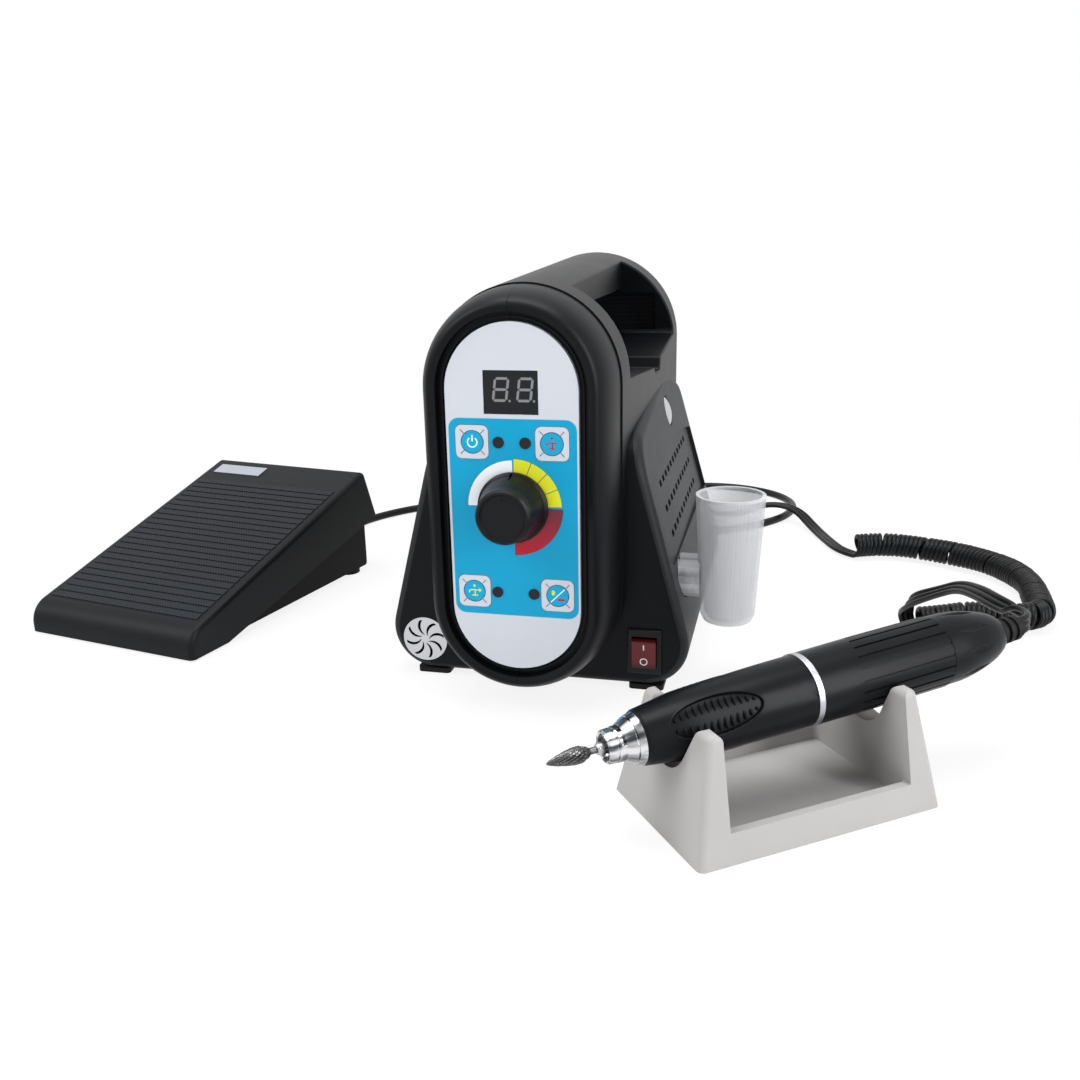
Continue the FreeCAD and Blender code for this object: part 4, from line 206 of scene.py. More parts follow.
class Finish:
    """A node material under construction, around one Principled surface."""

    def __init__(self, name: str) -> None:
        """Starts an empty material with the given name."""
        self.material = bpy.data.materials.new(name)
        self.material.use_nodes = True
        self.tree = self.material.node_tree
        self.tree.nodes.clear()
        self.surface = self.tree.nodes.new("ShaderNodeBsdfPrincipled")
        output = self.tree.nodes.new("ShaderNodeOutputMaterial")
        self.tree.links.new(self.surface.outputs[0], output.inputs[0])
        self.spot = self.tree.nodes.new("ShaderNodeTexCoord").outputs["Object"]

    def node(self, kind: str, settings: dict | None = None, feeds: dict | None = None) -> bpy.types.Node:
        """Adds one node.

        Args:
            kind: The node's type.
            settings: Its own settings, which are set first.
            feeds: What goes into its sockets, by name or number.

        Returns:
            The node.
        """
        node = self.tree.nodes.new(kind)
        for key, value in (settings or {}).items():
            setattr(node, key, value)
        for key, value in (feeds or {}).items():
            self.feed(node.inputs[key], value)
        return node

    def feed(self, socket: bpy.types.NodeSocket, value: Feed) -> None:
        """Gives a socket a link or a fixed value."""
        if isinstance(value, Value):
            self.tree.links.new(value.socket, socket)
        elif isinstance(value, bpy.types.NodeSocket):
            self.tree.links.new(value, socket)
        elif isinstance(value, (tuple, list)) and socket.type == "RGBA":
            socket.default_value = (*value[:3], 1.0)
        else:
            socket.default_value = value

    def value(self, socket: bpy.types.NodeSocket) -> Value:
        """A socket as a value."""
        return Value(self.tree, socket)

    def axes(self, local: Matrix | None = None) -> tuple[Value, Value, Value]:
        """The coordinates of a point.

        Args:
            local: The place to measure from, or None for the scene's own axes in metres.

        Returns:
            The three coordinates: in millimetres at the place, or in metres without one.
        """
        spot = self.spot
        if local is not None:
            inverse = local.inverted()
            rows = []
            for row in range(3):
                factors = tuple(inverse[row][i] / MM for i in range(3))
                dot = self.node("ShaderNodeVectorMath", {"operation": "DOT_PRODUCT"}, {0: spot, 1: factors})
                rows.append(self.value(dot.outputs["Value"]) + inverse[row][3] / MM)
            return rows[0], rows[1], rows[2]
        split = self.node("ShaderNodeSeparateXYZ", feeds={0: spot})
        return tuple(self.value(split.outputs[i]) for i in range(3))

    def vector(self, x: Feed, y: Feed, z: Feed) -> bpy.types.NodeSocket:
        """A vector from three values."""
        return self.node("ShaderNodeCombineXYZ", feeds={0: x, 1: y, 2: z}).outputs[0]

    def noise(self, scale: float, detail: float = 2.0, rough: float = 0.5,
              spot: bpy.types.NodeSocket | None = None) -> Value:
        """Noise between 0 and 1.

        Args:
            scale: Its frequency, per unit of the coordinates.
            detail: How many octaves it has.
            rough: How strong the finer octaves are.
            spot: The coordinates, or None for the scene's own.

        Returns:
            The noise.
        """
        feeds = {"Vector": spot or self.spot, "Scale": scale, "Detail": detail, "Roughness": rough}
        return self.value(self.node("ShaderNodeTexNoise", feeds=feeds).outputs["Fac"])

    def mix(self, share: Feed, low: Feed, high: Feed) -> bpy.types.NodeSocket:
        """A colour between two others."""
        return self.node("ShaderNodeMix", {"data_type": "RGBA"}, {0: share, 6: low, 7: high}).outputs[2]

    def bump(self, height: Value, depth: float,
             under: bpy.types.NodeSocket | None = None) -> bpy.types.NodeSocket:
        """A bumped normal.

        Args:
            height: The relief, between 0 and 1.
            depth: How deep it is, in millimetres.
            under: A normal that it lies on.

        Returns:
            The normal.
        """
        feeds = {"Height": height, "Distance": depth * MM, "Strength": 1.0}
        if under is not None:
            feeds["Normal"] = under
        return self.node("ShaderNodeBump", feeds=feeds).outputs[0]

    def done(self, **sockets: Feed) -> bpy.types.Material:
        """Sets the surface's sockets, with underscores for spaces, and gives the material."""
        for name, value in sockets.items():
            self.feed(self.surface.inputs[name.replace("_", " ")], value)
        return self.material


@dataclass(frozen=True)
class Moulded:
    """Moulded plastic or rubber: a fine grain, faint patches of tone and a varying sheen."""

    name: str
    colour: Point
    rough: float = 0.45
    grain: float = 2200.0
    depth: float = 0.03
    patch: float = 0.12
    specular: float = 0.5

    def make(self) -> bpy.types.Material:
        """Builds the material."""
        finish = Finish(self.name)
        broad = finish.noise(35.0, 3.0)
        fine = finish.noise(self.grain, 2.0)
        pale = tuple(min(1.0, c * (1 + self.patch) + 0.004) for c in self.colour)
        deep = tuple(c * (1 - self.patch) for c in self.colour)
        tone = finish.mix(broad, deep, pale)
        rough = broad * 0.1 + fine * 0.06 + (self.rough - 0.08)
        return finish.done(Base_Color=tone, Roughness=rough, Normal=finish.bump(fine, self.depth),
                           Specular_IOR_Level=self.specular)


@dataclass(frozen=True)
class Metal:
    """Turned or ground metal with fine tool marks."""

    name: str
    colour: Point
    rough: float = 0.25
    marks: float = 0.02

    def make(self) -> bpy.types.Material:
        """Builds the material."""
        finish = Finish(self.name)
        fine = finish.noise(1500.0, 3.0, 0.6)
        broad = finish.noise(90.0, 2.0)
        tone = finish.mix(broad, tuple(c * 0.9 for c in self.colour), self.colour)
        return finish.done(Base_Color=tone, Metallic=1.0, Roughness=fine * 0.12 + (self.rough - 0.06),
                           Normal=finish.bump(fine, self.marks))


# Depth of the tooth of printed film, in millimetres, and how strongly it mirrors.
FILM_TOOTH = 0.006
FILM_SPECULAR = 0.18


@dataclass(frozen=True)
class Printed:
    """Flat printed film with a faint tooth."""

    name: str
    colour: Point
    rough: float = 0.45

    def make(self) -> bpy.types.Material:
        """Builds the material."""
        finish = Finish(self.name)
        tooth = finish.noise(3500.0, 1.0)
        broad = finish.noise(60.0, 2.0)
        tone = finish.mix(broad, tuple(c * 0.97 for c in self.colour), self.colour)
        return finish.done(Base_Color=tone, Roughness=tooth * 0.08 + (self.rough - 0.04),
                           Normal=finish.bump(tooth, FILM_TOOTH), Specular_IOR_Level=FILM_SPECULAR)


class Shape:
    """A mesh in the making, in millimetres at one place."""

    def __init__(self, at: Matrix) -> None:
        """Starts an empty mesh at a place."""
        self.at = at
        self.mesh = bmesh.new()

    def add(self, points: Iterable[Sequence[float]]) -> list[bmesh.types.BMVert]:
        """Adds points."""
        return [self.mesh.verts.new(Vector(p)) for p in points]

    def bridge(self, rings: Sequence[Sequence[bmesh.types.BMVert]]) -> None:
        """Joins rings of as many points each with faces."""
        for a, b in zip(rings, rings[1:]):
            count = len(a)
            for i in range(count):
                j = (i + 1) % count
                corners = list(dict.fromkeys((a[i], a[j], b[j], b[i])))
                if len(corners) > 2:
                    self.mesh.faces.new(corners)

    def cap(self, ring: Sequence[bmesh.types.BMVert]) -> None:
        """Closes a ring with one face."""
        self.mesh.faces.new(ring)

    def lathe(self, profile: Sequence[Pair], sides: int = 64,
              dent: Callable[[float, float, float], float] | None = None) -> Shape:
        """Turns a profile about the third axis.

        Args:
            profile: Pairs of station and radius.
            sides: How many points go round.
            dent: How much the radius loses at a station and an angle, given the plain radius last.

        Returns:
            This shape.
        """
        rings = []
        for s, r in profile:
            if r < 1e-6:
                rings.append([self.add([(0, 0, s)])[0]] * sides)
                continue
            ring = []
            for i in range(sides):
                angle = 2 * math.pi * i / sides
                radius = r - (dent(s, angle, r) if dent else 0.0)
                ring.append((radius * math.cos(angle), radius * math.sin(angle), s))
            rings.append(self.add(ring))
        self.bridge(rings)
        return self

    def slab(self, outline: Sequence[Pair], low: float, high: float, to: Placing,
             holes: Sequence[Sequence[Pair]] = ()) -> Shape:
        """A flat plate with upright edges.

        Args:
            outline: Its outline.
            low: Level of its back.
            high: Level of its face.
            to: Where a point (u, v, level) goes.
            holes: Outlines that are left open.

        Returns:
            This shape.
        """
        edges = []
        for line in (outline, *holes):
            verts = self.add([to(u, v, high) for u, v in line])
            edges += [self.mesh.edges.new(pair) for pair in zip(verts, verts[1:] + verts[:1])]
        filled = bmesh.ops.triangle_fill(self.mesh, edges=edges, use_beauty=True)
        faces = [f for f in filled["geom"] if isinstance(f, bmesh.types.BMFace)]
        moved = bmesh.ops.extrude_face_region(self.mesh, geom=faces, use_keep_orig=True)
        drop = Vector(to(0, 0, low)) - Vector(to(0, 0, high))
        for item in moved["geom"]:
            if isinstance(item, bmesh.types.BMVert):
                item.co += drop
        return self

    def sweep(self, path: Sequence[Vector], across: Sequence[Vector], section: Sequence[Pair]) -> Shape:
        """Carries a closed section along a path.

        Args:
            path: The points it follows.
            across: The direction of the section's second axis at each point.
            section: The section, as pairs across the cord's width and thickness.

        Returns:
            This shape.
        """
        rings = []
        last = len(path) - 1
        for i, point in enumerate(path):
            way = (path[min(i + 1, last)] - path[max(i - 1, 0)]).normalized()
            normal = (across[i] - way * across[i].dot(way)).normalized()
            side = way.cross(normal)
            rings.append(self.add([point + side * u + normal * v for u, v in section]))
        self.bridge(rings)
        self.cap(rings[0])
        self.cap(rings[-1])
        return self

    def finish(self, name: str, material: bpy.types.Material, body: Body | None,
               smooth: float = 40.0) -> bpy.types.Object:
        """Makes the object.

        Args:
            name: The piece's name.
            material: Its finish.
            body: The body it rides on, or none for a piece left on no body, such as a cord between two
                bodies.
            smooth: Angle in degrees up to which its faces are shaded as one.

        Returns:
            The object, which rides on its body.
        """
        bmesh.ops.remove_doubles(self.mesh, verts=self.mesh.verts, dist=1e-5)
        bmesh.ops.recalc_face_normals(self.mesh, faces=self.mesh.faces)
        bmesh.ops.transform(self.mesh, matrix=self.at, verts=self.mesh.verts)
        data = bpy.data.meshes.new(name)
        for face in self.mesh.faces:
            face.smooth = True
        self.mesh.to_mesh(data)
        self.mesh.free()
        data.set_sharp_from_angle(angle=math.radians(smooth))
        data.materials.append(material)
        piece = bpy.data.objects.new(name, data)
        bpy.context.scene.collection.objects.link(piece)
        if body is not None:
            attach(piece, body.value)
        LOG.info("%s: %d faces", name, len(data.polygons))
        return piece


def round_rect(x: float, y: float, w: float, h: float, r: float, steps: int = 6) -> list[Pair]:
    """An upright rectangle with round corners.

    Args:
        x: Its middle across.
        y: Its middle upwards.
        w: Its width.
        h: Its height.
        r: Radius of its corners.
        steps: Points in each corner.

    Returns:
        Its outline.
    """
    out = []
    for cx, cy, a0 in ((x + w / 2 - r, y + h / 2 - r, 0), (x - w / 2 + r, y + h / 2 - r, 90),
                       (x - w / 2 + r, y - h / 2 + r, 180), (x + w / 2 - r, y - h / 2 + r, 270)):
        for i in range(steps + 1):
            a = math.radians(a0 + 90 * i / steps)
            out.append((cx + r * math.cos(a), cy + r * math.sin(a)))
    return out


def ring_arc(x: float, y: float, inner: float, outer: float, start: float, end: float,
             steps: int = 24) -> list[Pair]:
    """A band along an arc.

    Args:
        x: Middle of the arc across.
        y: Middle of the arc upwards.
        inner: Inner radius.
        outer: Outer radius.
        start: Start, in degrees anticlockwise from the right.
        end: End, in degrees.
        steps: Points along it.

    Returns:
        Its outline.
    """
    angles = [math.radians(start + (end - start) * i / steps) for i in range(steps + 1)]
    out = [(x + outer * math.cos(a), y + outer * math.sin(a)) for a in angles]
    out += [(x + inner * math.cos(a), y + inner * math.sin(a)) for a in reversed(angles)]
    return out


def disc(x: float, y: float, r: float, steps: int = 40) -> list[Pair]:
    """A circle as an outline."""
    return [(x + r * math.cos(2 * math.pi * i / steps), y + r * math.sin(2 * math.pi * i / steps))
            for i in range(steps)]


def smooth_line(points: Sequence[Vector], resolution: int = 10) -> list[Vector]:
    """The line that a clamped quadratic NURBS spline draws.

    Args:
        points: Its control points.
        resolution: Points for each stretch.

    Returns:
        The points of the line.
    """
    data = bpy.data.curves.new("route", "CURVE")
    data.dimensions = "3D"
    spline = data.splines.new("NURBS")
    spline.points.add(len(points) - 1)
    for slot, point in zip(spline.points, points):
        slot.co = (*point, 1.0)
    spline.order_u = 3
    spline.use_endpoint_u = True
    spline.resolution_u = resolution
    holder = bpy.data.objects.new("route", data)
    bpy.context.scene.collection.objects.link(holder)
    graph = bpy.context.evaluated_depsgraph_get()
    mesh = bpy.data.meshes.new_from_object(holder.evaluated_get(graph))
    line = [v.co.copy() for v in mesh.vertices]
    bpy.data.objects.remove(holder)
    bpy.data.curves.remove(data)
    bpy.data.meshes.remove(mesh)
    return line


def spaced(line: Sequence[Vector], normals: Sequence[Vector],
           step: float) -> tuple[list[Vector], list[Vector]]:
    """Keeps points of a line that lie at least a step apart, and its ends.

    Args:
        line: The line.
        normals: A direction for each of its points.
        step: The least distance.

    Returns:
        The kept points and directions.
    """
    kept, ways = [line[0]], [normals[0]]
    for point, normal in zip(line[1:-1], normals[1:-1]):
        if (point - kept[-1]).length >= step and (point - line[-1]).length >= step:
            kept.append(point)
            ways.append(normal)
    return kept + [line[-1]], ways + [normals[-1]]


def path_length(line: Sequence[Vector]) -> float:
    """Length of a line of points."""
    return sum((b - a).length for a, b in zip(line, line[1:]))


def swell(count: int) -> float:
    """How far outside its circle a round spline's control points lie, with so many to a turn."""
    return 1 / (0.75 + 0.25 * math.cos(2 * math.pi / count))


def read_off(table: Sequence[Pair], at: float) -> float:
    """A value between the entries of a table, or its last value beyond them."""
    for (a, low), (b, high) in zip(table, table[1:]):
        if at <= b:
            return low + (high - low) * (at - a) / (b - a)
    return table[-1][1]


class Recipe(Protocol):
    """A finish that can be made into a material."""

    name: str

    def make(self) -> bpy.types.Material:
        """Builds the material."""


@dataclass
class Palette:
    """Every finish of the set, made once."""

    made: dict[str, bpy.types.Material] = field(default_factory=dict)

    def get(self, recipe: Recipe) -> bpy.types.Material:
        """The material of a recipe."""
        if recipe.name not in self.made:
            self.made[recipe.name] = recipe.make()
        return self.made[recipe.name]


@dataclass
class Workshop:
    """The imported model's nodes and the finishes, as every part of the set uses them."""

    nodes: dict[str, bpy.types.Object]
    palette: Palette = field(default_factory=Palette)

    def dress(self, material: bpy.types.Material, *names: str) -> None:
        """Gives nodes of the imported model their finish."""
        for name in names:
            node = self.nodes[name]
            node.data.materials.clear()
            node.data.materials.append(material)


BLACK_SMOOTH = Moulded("black_smooth", (0.0030, 0.0033, 0.0040), 0.3, 900.0, 0.006, specular=0.2)
PEDAL_BLACK = Moulded("pedal_black", (0.0030, 0.0038, 0.0052), 0.42, 1300.0, 0.03, specular=0.12)
# A darker copy of the pedal's black for its base: painted shade where the base sits back under the cover.
PEDAL_SHADED_BLACK = Moulded("pedal_black_painted_shade", (0.0014, 0.0018, 0.0024), 0.45, 1300.0, 0.03, specular=0.08)
RUBBER = Moulded("black_rubber", (0.0045, 0.0048, 0.0055), 0.6, 1800.0, 0.02, specular=0.18)
CORD_PVC = Moulded("cord_pvc", (0.0024, 0.0028, 0.0036), 0.34, 700.0, 0.01, specular=0.17)
HAND_BLACK = Moulded("handpiece_black", (0.0022, 0.0028, 0.0040), 0.33, 2600.0, 0.008, specular=0.11)
STAND_GREY = Moulded("stand_grey", (0.37, 0.36, 0.355), 0.5, 1400.0, 0.02, patch=0.03, specular=0.25)
KNOB_BLACK = Moulded("knob_black", (0.0028, 0.0034, 0.0044), 0.36, 1500.0, 0.012, specular=0.16)
PANEL_GREY = Printed("panel_grey", (0.53, 0.56, 0.61), rough=0.45)
FIELD_BLUE = Printed("field_blue", (0.0, 0.30, 0.52), rough=0.4)
KEY_BLUE = Printed("key_blue", (0.0, 0.33, 0.56), rough=0.38)
RING_WHITE = Printed("ring_white", (0.78, 0.82, 0.86), rough=0.4)
LINE_NAVY = Printed("line_navy", (0.012, 0.10, 0.20), rough=0.4)
MARK_YELLOW = Printed("mark_yellow", (0.66, 0.68, 0.02), rough=0.4)
MARK_RED = Printed("mark_red", (0.42, 0.012, 0.03), rough=0.4)
SEGMENT_GREY = Printed("segment_grey", (0.20, 0.20, 0.22), rough=0.35)
DARK_GLASS = Moulded("dark_glass", (0.0036, 0.0044, 0.0058), 0.16, 200.0, 0.001, specular=0.25)
LAMP_DARK = Moulded("lamp_dark", (0.004, 0.004, 0.006), 0.25, 400.0, 0.002, specular=0.3)
STEEL = Metal("bright_steel", (0.50, 0.50, 0.51), rough=0.26, marks=0.008)
DISC_PLATED = Metal("disc_plated", (0.60, 0.61, 0.64), rough=0.34, marks=0.004)
SATIN_RING = Metal("satin_ring", (0.50, 0.52, 0.56), rough=0.4, marks=0.01)
CARBIDE = Metal("carbide", (0.13, 0.127, 0.13), rough=0.3, marks=0.01)
COPPER = Metal("copper_winding", (0.55, 0.25, 0.12), rough=0.35, marks=0.02)
BOARD_GREEN = Moulded("board_green", (0.012, 0.09, 0.035), rough=0.4, grain=500.0, depth=0.01)
PLATE_SILVER = Metal("plate_silver", (0.50, 0.53, 0.60), rough=0.38, marks=0.006)


@dataclass(frozen=True)
class Seamed:
    """Smooth moulded housing with the fine joint of its two halves on the middle plane."""

    name: str = "housing_black"
    colour: Point = (0.0018, 0.0024, 0.0036)
    line: Point = (0.0008, 0.0008, 0.001)
    half_gap: float = 0.22

    def make(self) -> bpy.types.Material:
        """Builds the material."""
        finish = Finish(self.name)
        x, _, _ = finish.axes(UNIT)
        seam = x.magnitude().below(self.half_gap, 0.07)
        fine = finish.noise(1500.0, 2.0)
        broad = finish.noise(30.0, 3.0)
        tone = finish.mix(broad, tuple(c * 0.9 for c in self.colour), tuple(c * 1.15 for c in self.colour))
        dark = finish.mix(seam, tone, self.line)
        under = finish.bump(fine, 0.02)
        relief = finish.bump(1 - seam, 0.25, under=under)
        return finish.done(Base_Color=dark, Roughness=broad * 0.08 + fine * 0.06 + 0.34, Normal=relief,
                           Specular_IOR_Level=0.14)


@dataclass(frozen=True)
class Grained:
    """Coarse moulded grain, as on the side covers: pebbles between fine furrows."""

    name: str = "cover_grain"
    colour: Point = (0.0085, 0.0098, 0.0115)
    cell: float = 620.0

    def make(self) -> bpy.types.Material:
        """Builds the material."""
        finish = Finish(self.name)
        cells = finish.node("ShaderNodeTexVoronoi", {"feature": "SMOOTH_F1"},
                            {"Vector": finish.spot, "Scale": self.cell, "Smoothness": 0.6})
        pebble = finish.value(cells.outputs["Distance"])
        fine = finish.noise(2600.0, 2.0)
        broad = finish.noise(30.0, 2.0)
        facing = finish.node("ShaderNodeSeparateXYZ",
                             feeds={0: finish.node("ShaderNodeNewGeometry").outputs["True Normal"]})
        flat = finish.value(facing.outputs[0]).magnitude().above(0.90, 0.03)
        tone = finish.mix(broad, tuple(c * 0.85 for c in self.colour), tuple(c * 1.2 for c in self.colour))
        speckled = finish.mix(flat * pebble, tone, tuple(c * 2.4 for c in self.colour))
        rough = fine * 0.1 + broad * 0.06 + 0.44
        relief = finish.bump((pebble * 0.8 + fine * 0.2) * flat, 0.11)
        return finish.done(Base_Color=speckled, Roughness=rough, Normal=relief, Specular_IOR_Level=0.22)


@dataclass(frozen=True)
class Frosted:
    """Milky see-through plastic with faint upright flow lines and a denser rim and floor."""

    name: str = "frosted_cup"

    def make(self) -> bpy.types.Material:
        """Builds the material."""
        finish = Finish(self.name)
        rim_z, floor_z = 87.2, 31.5
        x, y, z = finish.axes(place((85.6, 25.0, 0.0)))
        angle = y.apply("ARCTAN2", x)
        lines = finish.noise(6.0, 3.0, 0.6, finish.vector(angle * 4.0, z * 0.004, 0.0))
        dense = z.above(rim_z, 0.3) + z.below(floor_z, 1.0) * 0.6
        alpha = (dense * 0.3 + lines * 0.22 + 0.34).clamped()
        rough = lines * 0.16 + 0.3
        return finish.done(Base_Color=(0.60, 0.615, 0.64), Roughness=rough, Alpha=alpha,
                           Normal=finish.bump(lines, 0.03), Specular_IOR_Level=0.3)


@dataclass(frozen=True)
class TintedRed:
    """Clear red plastic over a dark body, as on an unlit rocker."""

    name: str = "rocker_red"

    def make(self) -> bpy.types.Material:
        """Builds the material."""
        finish = Finish(self.name)
        half_window = 5.6
        _, _, z = finish.axes(ROCKER)
        depth = finish.noise(420.0, 2.0)
        edge = z.magnitude().above(half_window, 1.0)
        tone = finish.mix(edge, (0.13, 0.008, 0.012), (0.05, 0.003, 0.005))
        return finish.done(Base_Color=tone, Roughness=depth * 0.1 + 0.2, Coat_Weight=0.1,
                           Normal=finish.bump(depth, 0.004), Specular_IOR_Level=0.25)


@dataclass(frozen=True)
class PaintedReflectionPlating:
    """Bright plating with painted reflections: its colour runs in long dark and bright streaks beside the
    handpiece's axis, standing in for the surroundings the metal mirrors.
    """

    name: str = "nose_plating_painted_reflections"
    # Colours of the painted dark reflections (low) and of the painted bright reflections (high).
    low: Point = (0.06, 0.062, 0.07)
    high: Point = (0.78, 0.78, 0.80)

    def make(self) -> bpy.types.Material:
        """Builds the material."""
        finish = Finish(self.name)
        x, y, s = finish.axes(HAND)
        far = (x * x + y * y).apply("SQRT")
        spot = finish.vector(x / far, y / far, s * 0.03)
        # Painted reflections: noise round the axis, stretched along it, picks between the dark and the bright
        # colour.
        share = ((finish.noise(2.6, 1.5, 0.5, spot) - 0.36) * 3.4).clamped()
        fine = finish.noise(900.0, 2.0)
        return finish.done(Base_Color=finish.mix(share, self.low, self.high), Metallic=1.0,
                           Roughness=fine * 0.08 + 0.18, Normal=finish.bump(fine, 0.003))


@dataclass(frozen=True)
class Graded:
    """Printed red that deepens towards one end of its band."""

    name: str = "dial_red"

    def make(self) -> bpy.types.Material:
        """Builds the material."""
        finish = Finish(self.name)
        reach = 20.0
        _, _, z = finish.axes(place((0.0, FACE_Y, KNOB_Z)))
        share = ((z + reach) / reach).clamped()
        tooth = finish.noise(3500.0, 1.0)
        tone = finish.mix(share, (0.42, 0.010, 0.022), (0.13, 0.030, 0.050))
        return finish.done(Base_Color=tone, Roughness=tooth * 0.08 + 0.41,
                           Normal=finish.bump(tooth, FILM_TOOTH), Specular_IOR_Level=FILM_SPECULAR)


@dataclass(frozen=True)
class Hatched:
    """Rubber ribs with a slanting fine hatch."""

    name: str = "tread_rubber"

    def make(self) -> bpy.types.Material:
        """Builds the material."""
        finish = Finish(self.name)
        pitch = 1.35
        u, v, _ = finish.axes(TREAD)
        slant = (u * 0.8 + v * 0.6).wave(pitch)
        fine = finish.noise(1500.0, 2.0)
        relief = slant * 0.4 + fine * 0.25 + 0.5
        broad = finish.noise(25.0, 2.0)
        tone = finish.mix(broad, (0.0068, 0.0088, 0.0125), (0.0100, 0.0125, 0.0170))
        return finish.done(Base_Color=tone, Roughness=fine * 0.12 + 0.42, Normal=finish.bump(relief, 0.26),
                           Specular_IOR_Level=0.14)


@dataclass(frozen=True)
class Repeats:
    """One small rounded bar, repeated by geometry nodes at given spots."""

    name: str
    facing: Matrix
    size: Point
    material: bpy.types.Material

    def tree(self) -> bpy.types.NodeTree:
        """The node tree: a bar on each point, scaled along its length by the point's own share."""
        tree = bpy.data.node_groups.new(self.name, "GeometryNodeTree")
        sockets = tree.interface
        inputs = (("Geometry", "Geometry"), ("Size", "Vector"), ("Turn", "Rotation"), ("Finish", "Material"))
        for name, kind in inputs:
            sockets.new_socket(name, in_out="INPUT", socket_type=f"NodeSocket{kind}")
        sockets.new_socket("Geometry", in_out="OUTPUT", socket_type="NodeSocketGeometry")
        nodes, link = tree.nodes, tree.links.new
        entry, leave = nodes.new("NodeGroupInput"), nodes.new("NodeGroupOutput")
        bar = nodes.new("GeometryNodeMeshUVSphere")
        bar.inputs["Segments"].default_value = 16
        bar.inputs["Rings"].default_value = 10
        bar.inputs["Radius"].default_value = 1.0
        shape = nodes.new("GeometryNodeTransform")
        share = nodes.new("GeometryNodeInputNamedAttribute")
        share.data_type = "FLOAT"
        share.inputs["Name"].default_value = "share"
        stretch = nodes.new("ShaderNodeCombineXYZ")
        stretch.inputs[1].default_value = 1.0
        stretch.inputs[2].default_value = 1.0
        place_bars = nodes.new("GeometryNodeInstanceOnPoints")
        realize = nodes.new("GeometryNodeRealizeInstances")
        finish = nodes.new("GeometryNodeSetMaterial")
        link(bar.outputs["Mesh"], shape.inputs["Geometry"])
        link(entry.outputs["Size"], shape.inputs["Scale"])
        link(share.outputs["Attribute"], stretch.inputs[0])
        link(entry.outputs["Geometry"], place_bars.inputs["Points"])
        link(shape.outputs["Geometry"], place_bars.inputs["Instance"])
        link(entry.outputs["Turn"], place_bars.inputs["Rotation"])
        link(stretch.outputs[0], place_bars.inputs["Scale"])
        link(place_bars.outputs["Instances"], realize.inputs["Geometry"])
        link(realize.outputs["Geometry"], finish.inputs["Geometry"])
        link(entry.outputs["Finish"], finish.inputs["Material"])
        link(finish.outputs["Geometry"], leave.inputs["Geometry"])
        return tree

    def lay(self, name: str, spots: Sequence[Vector], shares: Sequence[float]) -> bpy.types.Object:
        """Makes the bars.

        Args:
            name: The piece's name.
            spots: Where the bars lie, in metres.
            shares: How long each is, as a share of the bar.

        Returns:
            The finished piece.
        """
        points = bpy.data.meshes.new(f"{name}_points")
        points.from_pydata([tuple(p) for p in spots], [], [])
        points.attributes.new("share", "FLOAT", "POINT").data.foreach_set("value", shares)
        holder = bpy.data.objects.new(f"{name}_points", points)
        bpy.context.scene.collection.objects.link(holder)
        tree = self.tree()
        modifier = holder.modifiers.new("bars", "NODES")
        modifier.node_group = tree
        values = {"Size": tuple(v * MM for v in self.size), "Turn": tuple(self.facing.to_euler()),
                  "Finish": self.material}
        for item in tree.interface.items_tree:
            if item.in_out == "INPUT" and item.name in values:
                modifier[item.identifier] = values[item.name]
        graph = bpy.context.evaluated_depsgraph_get()
        mesh = bpy.data.meshes.new_from_object(holder.evaluated_get(graph))
        mesh.name = name
        mesh.shade_smooth()
        holder.modifiers.remove(modifier)
        bpy.data.objects.remove(holder)
        piece = bpy.data.objects.new(name, mesh)
        bpy.context.scene.collection.objects.link(piece)
        LOG.info("%s: %d faces", name, len(mesh.polygons))
        return piece


